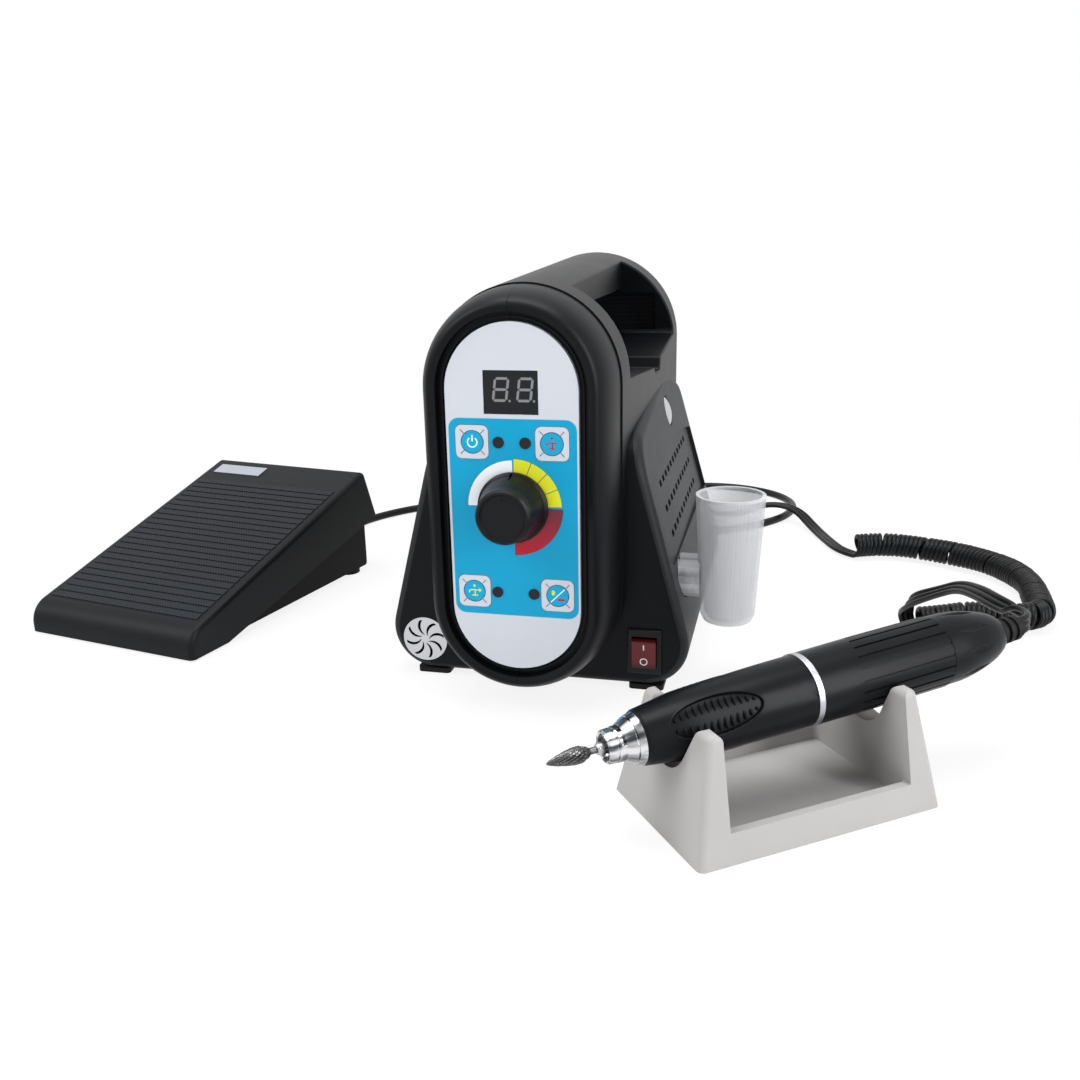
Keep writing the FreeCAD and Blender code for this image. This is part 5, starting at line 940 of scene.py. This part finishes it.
@dataclass
class Studio:
    """Camera, lamps, floor and world."""

    spot: Point = (151.694, -462.485, 208.0)
    turn: Point = (73.4554, 1.1791, 13.6168)
    lens: float = 35.343
    shift_y: float = -0.00546
    ambient: float = 0.46

    def camera(self) -> None:
        """Sets up the camera at the photograph's place."""
        data = bpy.data.cameras.new("camera")
        data.sensor_width = 36.0
        data.lens = self.lens
        data.shift_y = self.shift_y
        data.clip_start = 0.02
        data.clip_end = 30.0
        holder = bpy.data.objects.new("camera", data)
        holder.location = Vector(self.spot) * MM
        holder.rotation_euler = tuple(math.radians(a) for a in self.turn)
        bpy.context.scene.collection.objects.link(holder)
        bpy.context.scene.camera = holder

    def lamp(self, name: str, spot: Point, aim: Point, size: Pair, power: float) -> None:
        """Adds a soft lamp.

        Args:
            name: Its name.
            spot: Where it hangs, in metres.
            aim: What it points at, in metres.
            size: Its width and height in metres.
            power: Its strength in watts.
        """
        data = bpy.data.lights.new(name, "AREA")
        data.shape = "RECTANGLE"
        data.size, data.size_y = size
        data.energy = power
        holder = bpy.data.objects.new(name, data)
        holder.location = spot
        holder.rotation_euler = (Vector(aim) - Vector(spot)).to_track_quat("-Z", "Y").to_euler()
        bpy.context.scene.collection.objects.link(holder)

    @staticmethod
    def seen_directly(tree: bpy.types.NodeTree) -> Value:
        """One for camera, glossy and transmitted rays, and nothing for the others."""
        path = tree.nodes.new("ShaderNodeLightPath")
        camera, glossy, through = (Value(tree, path.outputs[f"Is {kind} Ray"])
                                   for kind in ("Camera", "Glossy", "Transmission"))
        return (camera + glossy + through).apply("MINIMUM", 1.0)

    def world(self) -> None:
        """A white surround that lights softly."""
        world = bpy.data.worlds.new("surround")
        world.use_nodes = True
        tree = world.node_tree
        background = tree.nodes["Background"]
        background.inputs["Color"].default_value = (1.0, 1.0, 1.0, 1.0)
        strength = self.seen_directly(tree) * (1 - self.ambient) + self.ambient
        tree.links.new(strength.socket, background.inputs["Strength"])
        bpy.context.scene.world = world

    def floor(self) -> None:
        """A large pale floor that keeps a soft shadow near the object and glows white away from it."""
        mesh = bpy.data.meshes.new("floor")
        side, clear, soft, glow_near = 6.0, 0.62, 0.26, 0.86
        corners = [(-side, -side, 0), (side, -side, 0), (side, side, 0), (-side, side, 0)]
        mesh.from_pydata(corners, [], [(0, 1, 2, 3)])
        finish = Finish("floor_white")
        tree = finish.tree
        finish.done(Base_Color=(0.93, 0.93, 0.93), Roughness=0.9, Specular_IOR_Level=0.0)
        glow = finish.node("ShaderNodeEmission", feeds={"Color": (1.0, 1.0, 1.0), "Strength": 1.0})
        x, y, _ = finish.axes()
        away = (x * x + y * y).apply("SQRT").above(clear, soft)
        share = self.seen_directly(tree) * (away * (1 - glow_near) + glow_near)
        both = finish.node("ShaderNodeMixShader",
                           feeds={0: share, 1: finish.surface.outputs[0], 2: glow.outputs[0]})
        output = next(n for n in tree.nodes if n.type == "OUTPUT_MATERIAL")
        tree.links.new(both.outputs[0], output.inputs[0])
        mesh.materials.append(finish.material)
        floor = bpy.data.objects.new("floor", mesh)
        bpy.context.scene.collection.objects.link(floor)

    def build(self) -> None:
        """Sets up everything round the object."""
        bpy.context.scene.view_settings.view_transform = "Standard"
        self.camera()
        self.lamp("left_softbox", (-1.1, -0.7, 1.2), (0.0, 0.0, 0.08), (0.9, 0.9), 15.0)
        self.lamp("right_strip", (1.25, -0.55, 0.55), (0.05, 0.0, 0.1), (0.3, 1.1), 14.0)
        self.lamp("top_softbox", (0.0, 0.05, 1.5), (0.0, 0.0, 0.0), (1.2, 0.7), 17.0)
        self.world()
        self.floor()


@dataclass
class Cords:
    """The flat curly cord of the handpiece and the round cord of the pedal, in the CAD's own routes."""

    shop: Workshop
    radius: float = 5.9
    turns: float = 27.375
    level: float = 8.4
    wide: float = 8.0
    thick: float = 2.7
    around: int = 14
    looseness: float = 0.03
    lead: tuple[Point, ...] = ((32, 197, 46), (32, 222, 46), (38, 252, 28), (52, 278, 10), (74, 295, 2.9),
                               (92, 304, 10.7), (114, 298, 10.7), (128, 272, 2.5), (137, 243, 2.5),
                               (142.8, 228, 2.4))
    bow: tuple[Pair, ...] = ((152, 218), (168, 227), (200, 217), (228, 199), (243, 168), (241, 130),
                             (240, 113), (225, 104), (204, 106), (188, 96), (173, 90))
    tail: tuple[tuple[Point, Point], ...] = (
        ((171.2, 84, 21.9), (-0.9, -0.1, 0.3)), ((182, 67, 33), (-0.45, -0.3, 0.85)),
        ((189.5, 54, 41), (-0.2, -0.6, 0.8)), ((195, 35, 45), (-0.1, -0.85, 0.5)),
        ((199.5, 18, 46.5), (0, -0.9, 0.4)), ((206, 3.5, 47.4), (0.5, -0.8, 0.2)))
    groups: tuple[float, ...] = (0.0, 0.075, 0.19, 0.262, 0.375, 0.46, 0.6, 0.7, 0.79, 0.9, 1.0)
    round_radius: float = 2.6
    round_route: tuple[Pair, ...] = ((-190, 215), (-184, 248), (-158, 284), (-118, 306), (-75, 330),
                                     (-30, 358), (15, 376), (62, 384), (98, 366), (115, 334), (108, 298),
                                     (82, 266), (45, 250), (16, 246))
    round_end: tuple[Point, ...] = ((9, 253, 26.5), (-8, 236, 35), (-32, 221, 46), (-32, 197, 46))
    coil_turns: float = 3.75
    coil_radius: float = 29.0
    coil_rise: float = 5.8

    def ribbon_section(self) -> list[Pair]:
        """Section of the flat cord: three round cores side by side in one jacket."""
        core = self.thick / 2
        pitch = (self.wide - self.thick) / 2
        groove, inset, count = 0.42 * core, 0.05, 18
        top = []
        for i in range(count + 1):
            u = (self.wide / 2 - inset) * (1 - 2 * i / count)
            near = min(abs(u - c * pitch) for c in (-1, 0, 1))
            height = math.sqrt(max(core * core - near * near, 0.0))
            top.append((u, max(height, groove) if abs(u) < pitch else height))
        return top + [(u, -v) for u, v in reversed(top)]

    def helix(self) -> tuple[list[Vector], list[Vector]]:
        """Control points of the curls, and the way out from their axis at each."""
        bow = [UNIT @ (Vector((x, y, self.level)) * MM) for x, y in self.bow]
        axis = smooth_line(bow, 60)
        sums = [0.0]
        for a, b in zip(axis, axis[1:]):
            sums.append(sums[-1] + (b - a).length)
        up = Vector((0, 0, 1))
        waves = 5.3
        count = int(self.turns * self.around)
        points, ways = [], []
        spot = 0
        for i in range(count + 1):
            want = sums[-1] * self.bunched(i / count)
            while spot < len(sums) - 2 and sums[spot + 1] < want:
                spot += 1
            part = (want - sums[spot]) / (sums[spot + 1] - sums[spot])
            middle = axis[spot].lerp(axis[spot + 1], part)
            forward = (axis[spot + 1] - axis[spot]).normalized()
            side = forward.cross(up)
            angle = 2 * math.pi * self.turns * i / count - math.pi / 2
            out = side * math.cos(angle) + up * math.sin(angle)
            swing = math.sin(2 * math.pi * waves * i / count) * math.sin(math.pi * i / count)
            points.append(middle + out * self.radius * swell(self.around) * (1 + self.looseness * swing) * MM)
            ways.append(out)
        return points, ways

    def bunched(self, share: float) -> float:
        """Share of the curls' length at an even share, with the curls in close groups of unequal size."""
        squeeze, gap = 0.055, 0.016
        for low, high in zip(self.groups, self.groups[1:]):
            if share <= high:
                reach = high - low
                late = max(0.0, (share - (high - gap)) / gap)
                ease = late * late * (3 - 2 * late)
                return low + (share - low) * (1 - squeeze) + reach * squeeze * ease
        return share

    def handpiece_cord(self) -> None:
        """The lead from the plug, the curls on the table and the loop up to the boot."""
        step, boot_end, straight = 1.05, 184.3, 7.2
        points = [UNIT @ (Vector(p) * MM) for p in self.lead]
        ways = [Vector((0, 0, -1))] * len(points)
        curls, outs = self.helix()
        points += curls
        ways += outs
        rise = [UNIT @ (Vector(spot) * MM) for spot, _ in self.tail]
        points += rise
        ways += [Vector(way).normalized() for _, way in self.tail]
        outlet = HAND @ (Vector((0, 0, boot_end)) * MM)
        back = (HAND.to_3x3() @ Vector((0, 0, 1))).normalized()
        points += [outlet + back * straight * MM, outlet]
        ways += [Vector((0.95, 0.1, 0.0)), Vector((0.6, -0.8, 0.0))]
        line = smooth_line(points, 8)
        lifted = smooth_line([p + w * 2 * MM for p, w in zip(points, ways)], 8)
        path, normals = spaced(line, [(b - a).normalized() for a, b in zip(line, lifted)], step * MM)
        shape = Shape(Matrix.Identity(4))
        shape.sweep(path, normals, [(u * MM, v * MM) for u, v in self.ribbon_section()])
        piece = shape.finish("handpiece_cord", self.shop.palette.get(CORD_PVC), None, smooth=75.0)
        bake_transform(piece)
        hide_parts("handpiece_cord_lead", "handpiece_cord_curls", "handpiece_cord_tail")
        LOG.info("handpiece cord length %.3f m", path_length(path))

    def pedal_cord(self) -> None:
        """The cord from the pedal to its plug, with its spare length coiled behind the unit."""
        floor, straight, step = 2.8, 18.0, 1.6
        gland = PEDAL @ (Vector((52, 168, 9.6)) * MM)
        back = PEDAL.to_3x3() @ Vector((0, 1, 0))
        points = [gland, gland + back * straight * MM]
        points += [UNIT @ (Vector((x, y, floor)) * MM) for x, y in self.round_route]
        points.append(UNIT @ (Vector((-6, 246, 3.6)) * MM))
        centre = Vector((-20, 275, 3.8))
        reach = self.coil_radius * swell(self.around)
        steps = int(self.coil_turns * self.around)
        for i in range(steps + 1):
            turned = self.coil_turns * i / steps
            angle = -math.pi / 2 - 2 * math.pi * turned
            out = Vector((reach * math.cos(angle), reach * math.sin(angle), self.coil_rise * turned))
            points.append(UNIT @ ((centre + out) * MM))
        points += [UNIT @ (Vector(p) * MM) for p in self.round_end]
        path = smooth_line(points, 8)
        normal = Vector((0, 0, 1))
        normals = []
        for a, b in zip(path, path[1:] + path[-1:]):
            way = (b - a).normalized() if b != a else way
            normal = (normal - way * normal.dot(way)).normalized()
            normals.append(normal)
        path, normals = spaced(path, normals, step * MM)
        shape = Shape(Matrix.Identity(4))
        shape.sweep(path, normals, [(u * MM, v * MM) for u, v in disc(0, 0, self.round_radius, 16)])
        piece = shape.finish("pedal_cord_round", self.shop.palette.get(CORD_PVC), Body.BASE, smooth=75.0)
        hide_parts("pedal_cord")
        LOG.info("pedal cord length %.3f m", path_length(path))

    def build(self) -> None:
        """Makes both cords."""
        self.handpiece_cord()
        self.pedal_cord()


@dataclass
class ControlUnit:
    """Housing, covers, control panel, switches and cup."""

    shop: Workshop
    key_wells: tuple[Pair, ...] = ((-17.0, 120.6), (17.0, 120.6), (-18.2, 55.5), (18.2, 55.5))
    key_spots: tuple[Pair, ...] = ((-16.8, 120.6), (16.9, 120.6), (-18.3, 55.5), (18.3, 55.5))
    key_proud: float = 0.3
    sink: float = 0.05

    @staticmethod
    def on_face(proud: float = 0.0) -> Placing:
        """From drawing coordinates on the panel to the unit.

        Args:
            proud: How far the panel's own face stands out there.

        Returns:
            A function from (across, up, level) to a point.
        """
        return lambda u, v, w: (u, FACE_Y - proud - w, v)

    def printed(self, name: str, outline: Sequence[Pair], recipe: Recipe, level: float = 0.06,
                body: Body = Body.BASE, proud: float = 0.0, holes: Sequence[Sequence[Pair]] = ()) -> None:
        """Adds a printed patch on the panel or a key.

        Args:
            name: Its name.
            outline: Its outline.
            recipe: Its ink.
            level: How far it stands out, in millimetres.
            body: What it rides on.
            proud: How far the surface under it stands out of the panel.
            holes: Outlines left open.
        """
        shape = Shape(UNIT_MM).slab(outline, -self.sink, level, self.on_face(proud), holes)
        shape.finish(name, self.shop.palette.get(recipe), body)

    def dress_nodes(self) -> None:
        """Gives the unit's own solids their finishes."""
        shop, get = self.shop, self.shop.palette.get
        shop.dress(get(Seamed()), "housing_left", "housing_right")
        shop.dress(get(Grained()), "side_cover_left", "side_cover_right")
        shop.dress(get(PANEL_GREY), "fascia_panel", "power_key", "standby_key", "direction_key",
                   "hand_foot_key")
        shop.dress(get(DARK_GLASS), "display_window", "display_digits")
        shop.dress(get(LAMP_DARK), "indicator_lamps")
        shop.dress(get(KNOB_BLACK), "speed_knob")
        shop.dress(get(BLACK_SMOOTH), "rocker_frame", "mains_inlet", "motor_socket", "pedal_socket",
                   "key_switches", "speed_potentiometer", "handpiece_plug", "pedal_plug")
        shop.dress(get(TintedRed()), "power_rocker")
        shop.dress(get(DISC_PLATED), "vent_disc", "cover_caps")
        shop.dress(get(STEEL), "cover_screws", "knob_shaft", "board_spacers")
        shop.dress(get(COPPER), "transformer")
        shop.dress(get(BOARD_GREEN), "panel_board", "supply_board")
        shop.dress(get(RUBBER), "unit_feet")
        shop.dress(get(Frosted()), "bur_cup")

    def blue_field(self) -> None:
        """The blue field of the panel, open round the keys and the knob's shaft."""
        well, well_round, shaft = 14.5, 2.7, 4.0
        holes = [round_rect(x, z, well, well, well_round) for x, z in self.key_wells]
        holes.append(disc(0, KNOB_Z, shaft))
        self.printed("panel_blue_field", round_rect(0.15, 87.9, 54.2, 85.2, 4.5), FIELD_BLUE, holes=holes)

    def dial(self) -> None:
        """The speed scale round the knob, each band on a slightly larger dark one."""
        x, z, inner, edge = 0.2, KNOB_Z, 14.7, 0.16
        bands = [("dial_low", RING_WHITE, 19.8, 91.0, 180.0)]
        for i in range(4):
            bands.append((f"dial_middle_{i + 1}", MARK_YELLOW, 20.4, 68.0 - 22.0 * i, 89.0 - 22.0 * i))
        bands.append(("dial_high", Graded(), 20.9, -90.0, -1.0))
        for name, recipe, outer, start, end in bands:
            margin = math.degrees(edge / outer)
            under = ring_arc(x, z, inner - edge, outer + edge, start - margin, end + margin)
            self.printed(f"{name}_line", under, LINE_NAVY, 0.09)
            self.printed(name, ring_arc(x, z, inner, outer, start, end), recipe, 0.13)

    def digits(self) -> None:
        """The two unlit seven-segment digits behind the dark window."""
        for index, base_x in enumerate((-4.05, 6.1)):
            self.digit(f"digit_{index + 1}", base_x)

    def digit(self, name: str, x0: float) -> None:
        """One digit of seven slanted segments and its point.

        Args:
            name: Its name.
            x0: Its middle.
        """
        shape = Shape(UNIT_MM)
        half, tall, thick, lean, gap = 2.75, 10.0, 1.05, 0.125, 0.18
        low, high, z0 = -0.02, 0.05, 142.4

        def bar(a: Pair, b: Pair) -> list[Pair]:
            """A pointed bar between two corners, slanted like the digit."""
            start, end = Vector(a), Vector(b)
            way = (end - start).normalized()
            start, end = start + way * gap, end - way * gap
            along, across = way * thick / 2, Vector((-way.y, way.x)) * thick / 2
            corners = (start, start + along + across, end - along + across, end, end - along - across,
                       start + along - across)
            return [(x0 + u + v * lean, z0 + v) for u, v in corners]

        h = (tall - thick) / 2
        bars = [((-half, z), (half, z)) for z in (h, 0, -h)]
        bars += [((x, z), (x, z + h)) for z in (0, -h) for x in (-half, half)]
        for a, b in bars:
            shape.slab(bar(a, b), low, high, self.on_face())
        shape.slab(disc(x0 + half + 0.9, z0 - h - 0.1, 0.5, 16), low, high, self.on_face())
        shape.finish(name, self.shop.palette.get(SEGMENT_GREY), Body.BASE)

    def key_face(self, name: str, x: float, z: float, body: Body) -> None:
        """The blue round field of a key with its ring and four ticks.

        Args:
            name: The key's name.
            x: Its middle across.
            z: Its middle upwards.
            body: What it rides on.
        """
        ink, near, far, half = 0.05, 5.1, 7.3, 0.16
        self.printed(f"{name}_field", disc(x, z, 4.5), KEY_BLUE, ink, body, self.key_proud)
        self.printed(f"{name}_ring", disc(x, z, 4.95), LINE_NAVY, ink, body, self.key_proud,
                     [disc(x, z, 4.55)])
        ticks = Shape(UNIT_MM)
        for corner in range(4):
            angle = math.radians(45 + 90 * corner)
            ux, uz = math.cos(angle), math.sin(angle)
            line = [(x + ux * r - uz * w, z + uz * r + ux * w)
                    for r, w in ((near, half), (far, half), (far, -half), (near, -half))]
            ticks.slab(line, -self.sink, ink, self.on_face(self.key_proud))
        ticks.finish(f"{name}_ticks", self.shop.palette.get(LINE_NAVY), body)

    def sign(self, name: str, outline: Sequence[Pair], recipe: Recipe, body: Body, layer: int = 0) -> None:
        """A printed sign on a key, over its field.

        Args:
            name: Its name.
            outline: Its outline.
            recipe: Its ink.
            body: The key's body.
            layer: Its place in a stack of overlapping patches.
        """
        ink, apart = 0.10, 0.004
        self.printed(name, outline, recipe, ink + apart * layer, body, self.key_proud)

    def keys(self) -> None:
        """The signs on the four keys: on-off, stand-by, direction, and hand or foot."""
        names = ("power_key", "standby_key", "direction_key", "hand_foot_key")
        bodies = (Body.POWER, Body.STANDBY, Body.DIRECTION, Body.HAND_FOOT)
        for name, (x, z), body in zip(names, self.key_spots, bodies):
            self.key_face(name, x, z, body)
        power, standby, direction, hand_foot = self.key_spots
        x, z = power[0], power[1] - 0.1
        self.sign("power_sign", ring_arc(x, z, 1.75, 2.3, 125, 415), RING_WHITE, Body.POWER)
        self.sign("power_stroke", round_rect(x, z + 1.7, 0.55, 2.8, 0.2), RING_WHITE, Body.POWER)
        self.flow_sign("standby", *standby, MARK_RED, Body.STANDBY, False)
        self.flow_sign("direction", *direction, MARK_YELLOW, Body.DIRECTION, True)
        x, z = hand_foot
        slash = [(x - 3.2, z - 2.9), (x - 2.9, z - 3.2), (x + 3.2, z + 2.9), (x + 2.9, z + 3.2)]
        self.sign("hand_foot_slash", slash, RING_WHITE, Body.HAND_FOOT)
        self.sign("hand_sign", round_rect(x - 1.9, z + 1.2, 1.3, 2.2, 0.6), MARK_YELLOW, Body.HAND_FOOT)
        self.sign("foot_sign", round_rect(x + 1.5, z - 1.8, 3.0, 1.0, 0.4), MARK_RED, Body.HAND_FOOT)

    def flow_sign(self, name: str, x: float, z: float, recipe: Printed, body: Body, arrow: bool) -> None:
        """A dot over a bent line and a short crossed one.

        Args:
            name: The key's name.
            x: Its middle across.
            z: Its middle upwards.
            recipe: Its ink.
            body: What it rides on.
            arrow: Whether the line ends in an arrow head.
        """
        bend = ring_arc(x - 1.4, z - 0.5, 0.7, 1.2, 90, 200, 10)
        pieces = [disc(x, z + 2.4, 0.55, 20), round_rect(x + 0.5, z + 0.45, 3.8, 0.5, 0.12), bend,
                  round_rect(x + 0.2, z - 1.9, 2.6, 0.5, 0.12), round_rect(x + 0.2, z - 0.9, 0.5, 3.0, 0.12)]
        if arrow:
            pieces.append([(x + 2.1, z - 0.5), (x + 3.3, z + 0.45), (x + 2.1, z + 1.4)])
        for i, outline in enumerate(pieces):
            self.sign(f"{name}_sign_{i + 1}", outline, recipe, body, i)

    def rocker_marks(self) -> None:
        """The stroke and the ring on the rocker."""
        paddle = place((50.8, 3.6, 19.8), 5.0, "X") @ SCALE
        crest, fall, sunk, ink = 6.8, 0.0625, 0.4, 0.07
        white = self.shop.palette.get(RING_WHITE)
        stroke = Shape(paddle).slab(round_rect(0, 3.7, 0.55, 2.8, 0.15), -sunk, ink,
                                    lambda u, v, w: (u, -crest - fall * v - w, v))
        stroke.finish("rocker_stroke", white, Body.ROCKER)
        ring = Shape(paddle).slab(disc(0, -3.4, 1.75), -sunk, ink,
                                  lambda u, v, w: (u, -crest + fall * v - w, v), [disc(0, -3.4, 1.3)])
        ring.finish("rocker_ring", white, Body.ROCKER)

    def build(self) -> None:
        """Dresses the unit and adds what the solids leave out."""
        self.dress_nodes()
        self.blue_field()
        self.dial()
        self.digits()
        self.keys()
        self.rocker_marks()


@dataclass
class FootPedal:
    """The pedal's finishes, and a mesh of its own for its return spring."""

    shop: Workshop
    spring_travel: float = 11.4

    def sprung(self) -> None:
        """Gives the return spring a mesh of its own."""
        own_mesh(self.shop.nodes["pedal_spring"])

    def build(self) -> None:
        """Dresses the pedal."""
        shop, get = self.shop, self.shop.palette.get
        shop.dress(get(PEDAL_BLACK), "pedal_cover")
        # The base gets the darker copy of the pedal's black, as painted shade.
        shop.dress(get(PEDAL_SHADED_BLACK), "pedal_base")
        shop.dress(get(Hatched()), "tread_mat")
        shop.dress(get(PLATE_SILVER), "pedal_plate")
        shop.dress(get(STEEL), "pedal_pin", "pedal_spring")
        shop.dress(get(BLACK_SMOOTH), "pedal_sensor")
        shop.dress(get(RUBBER), "pedal_feet", "pedal_gland")
        self.sprung()


@dataclass
class Handpiece:
    """The handpiece, its bur and its stand."""

    shop: Workshop

    def bur(self) -> None:
        """The flame bur: a head with slanting teeth that a second set of cuts crosses."""
        tip, end, neck, back, shank, fullest = -21.1, -7.0, -5.0, 21.0, 1.175, 3.1
        count, main_depth, cross_depth, cross_share = 12, 0.6, 0.22, 0.16
        table = ((0.0, 0.05), (0.03, 0.45), (0.08, 0.85), (0.28, 1.8), (0.56, 2.72), (0.72, 3.02),
                 (0.82, fullest), (0.92, 2.92), (1.0, 2.3))

        def teeth(s: float, angle: float, r: float) -> float:
            """Depth of the cuts at a station."""
            if s > end - 0.4 or s < tip + 0.3:
                return 0.0
            turned = angle * count / (2 * math.pi)
            main = (turned + s * 0.34) % 1.0
            cross = (turned - s * 0.62) % 1.0
            return r / fullest * (main_depth * main ** 1.5 + (cross_depth if cross < cross_share else 0.0))

        steps = 64
        profile = [(tip, 0.0)]
        profile += [(tip + (end - tip) * i / steps, read_off(table, i / steps)) for i in range(1, steps + 1)]
        profile += [(end + 1, 2.0), (neck, shank), (back, shank), (back, 0.0)]
        shape = Shape(HAND_MM).lathe(profile, 144, teeth)
        piece = shape.finish("flame_bur", self.shop.palette.get(CARBIDE), Body.BUR, 28.0)
        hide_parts("bur")

    def trim_ring(self) -> None:
        """The narrow bright ring between the sleeves, and the black collar behind it."""
        front, seam, back, bore, sharp = 78.9, 81.3, 83.3, 11.2, 28.0
        get = self.shop.palette.get
        bright = [(front, bore), (front, 13.55), (front + 0.15, 13.7), (seam - 0.15, 13.75), (seam, 13.6),
                  (seam, bore)]
        ring = Shape(HAND_MM).lathe(bright, 180)
        piece = ring.finish("bright_ring", get(SATIN_RING), Body.HANDPIECE, sharp)
        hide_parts("trim_ring")
        dark = [(seam, bore), (seam, 13.35), (seam + 0.2, 13.58), (back, 13.6), (back, bore)]
        collar = Shape(HAND_MM).lathe(dark, 180)
        collar.finish("ring_collar", get(HAND_BLACK), Body.HANDPIECE, sharp)

    @staticmethod
    def sleeve_radius(s: float) -> float:
        """Outer radius of the front sleeve at a station."""
        table = ((13.6, 9.9), (20.6, 10.85), (28.8, 11.85), (34.0, 12.14), (41.8, 12.45), (58.6, 13.0),
                 (78.6, 13.3))
        return read_off(table, s)

    def thumb_recess(self, number: int) -> None:
        """The lip round one thumb recess and the two rows of small ribs on its floor.

        Args:
            number: Which recess it is, from 0.
        """
        material = self.shop.palette.get(HAND_BLACK)
        middle, half_l, half_w, depth, margin = 39.0, 18.0, 6.75, 0.9, 0.1
        turn = Matrix.Rotation(math.radians(58.5 + 120 * number), 4, "Z")
        count, pitch, first, rim = 13, 2.55, 1.1, 1.0
        bar = (2.0, 1.0, 0.62)
        spots, shares = [], []
        for row in (-1, 1):
            for i in range(count):
                s = middle + pitch * (i - (count - 1) / 2)
                last = half_w * math.sqrt(1 - ((s - middle) / half_l) ** 2) - rim
                across = row * (first + last) / 2
                floor = math.sqrt((self.sleeve_radius(s) - depth) ** 2 - across ** 2) + margin
                spots.append(HAND @ turn @ (Vector((across, floor, s)) * MM))
                shares.append((last - first) / (2 * bar[0]))
        facing = (HAND @ turn).to_3x3().to_4x4()
        ribs = Repeats("thumb_ribs", facing, bar, material).lay(f"thumb_ribs_{number + 1}", spots, shares)
        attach(ribs, Body.HANDPIECE.value)
        shape = Shape(HAND @ turn @ SCALE)
        rings = []
        steps, sides, lip, sunk = 96, 10, 0.3, 0.14
        for i in range(steps):
            angle = 2 * math.pi * i / steps
            across, s = (half_w + margin) * math.sin(angle), middle + (half_l + margin) * math.cos(angle)
            away = math.sqrt(self.sleeve_radius(s) ** 2 - across ** 2) - sunk
            side = Vector((half_l * math.sin(angle), 0, half_w * math.cos(angle))).normalized()
            up = Vector((across, away, 0)).normalized()
            rings.append(shape.add([Vector((across, away, s)) + side * u + up * v
                                    for u, v in disc(0, 0, lip, sides)]))
        shape.bridge(rings + [rings[0]])
        shape.finish(f"thumb_lip_{number + 1}", material, Body.HANDPIECE)

    def end_cap(self) -> None:
        """The end cap with its rows of long shallow dents."""
        start, end, full, bore, outlet, wall = 140.0, 172.5, 13.9, 11.2, 4.2, 6.0
        falls = ((0.0, 0.8), (0.018, 0.3), (0.26, 0.4), (0.37, 0.75), (0.48, 1.3), (0.59, 2.0), (0.7, 2.9),
                 (0.8, 3.9), (0.88, 5.0), (0.94, 6.0), (0.98, 7.0), (1.0, 8.0))
        outer = []
        for (t0, fall0), (t1, fall1) in zip(falls, falls[1:]):
            for k in range(3):
                share = t0 + (t1 - t0) * k / 3
                outer.append((start + (end - start) * share, full - fall0 - (fall1 - fall0) * k / 3))
        outer.append((end, full - falls[-1][1]))
        dent_middle, dent_half, dent_count, dent_depth, dent_width, first = 153.5, 7.2, 9, 0.9, 0.16, 0.28

        def dents(s: float, angle: float, _: float) -> float:
            """Depth of the dents at a station."""
            ease = 1 - ((s - dent_middle) / dent_half) ** 2
            if ease <= 0:
                return 0.0
            wrapped = (angle / (2 * math.pi) * dent_count + first) % 1.0 - 0.5
            width = dent_width * ease
            if abs(wrapped) >= width:
                return 0.0
            return dent_depth * (1 - (wrapped / width) ** 2) * ease

        inside = [(end, outlet), (end - wall, outlet), (end - wall, 6.0), (start + 4, bore)]
        shape = Shape(HAND_MM).lathe([(start + 4, bore), (start, bore)] + outer + inside, 180, dents)
        piece = shape.finish("end_cap_dented", self.shop.palette.get(HAND_BLACK), Body.HANDPIECE, 30.0)
        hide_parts("end_cap")

    def build(self) -> None:
        """Dresses the handpiece and the stand."""
        shop, get = self.shop, self.shop.palette.get
        shop.dress(get(STAND_GREY), "handpiece_stand")
        shop.dress(get(HAND_BLACK), "front_sleeve", "motor_sleeve")
        # The nose cone's plating carries painted reflections in its colour.
        shop.dress(get(PaintedReflectionPlating()), "nose_cone")
        shop.dress(get(STEEL), "spindle", "bearings", "rotor")
        shop.dress(get(COPPER), "stator")
        shop.dress(get(RUBBER), "cord_boot")
        self.bur()
        for number in range(3):
            self.thumb_recess(number)
        self.end_cap()
        self.trim_ring()


def main() -> None:
    """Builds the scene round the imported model."""
    logging.basicConfig(level=logging.INFO, format="%(message)s")
    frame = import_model()
    shop = Workshop(frame["nodes"])
    Studio().build()
    Cords(shop).build()
    ControlUnit(shop).build()
    FootPedal(shop).build()
    Handpiece(shop).build()
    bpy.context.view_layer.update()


if __name__ == "__main__":
    main()
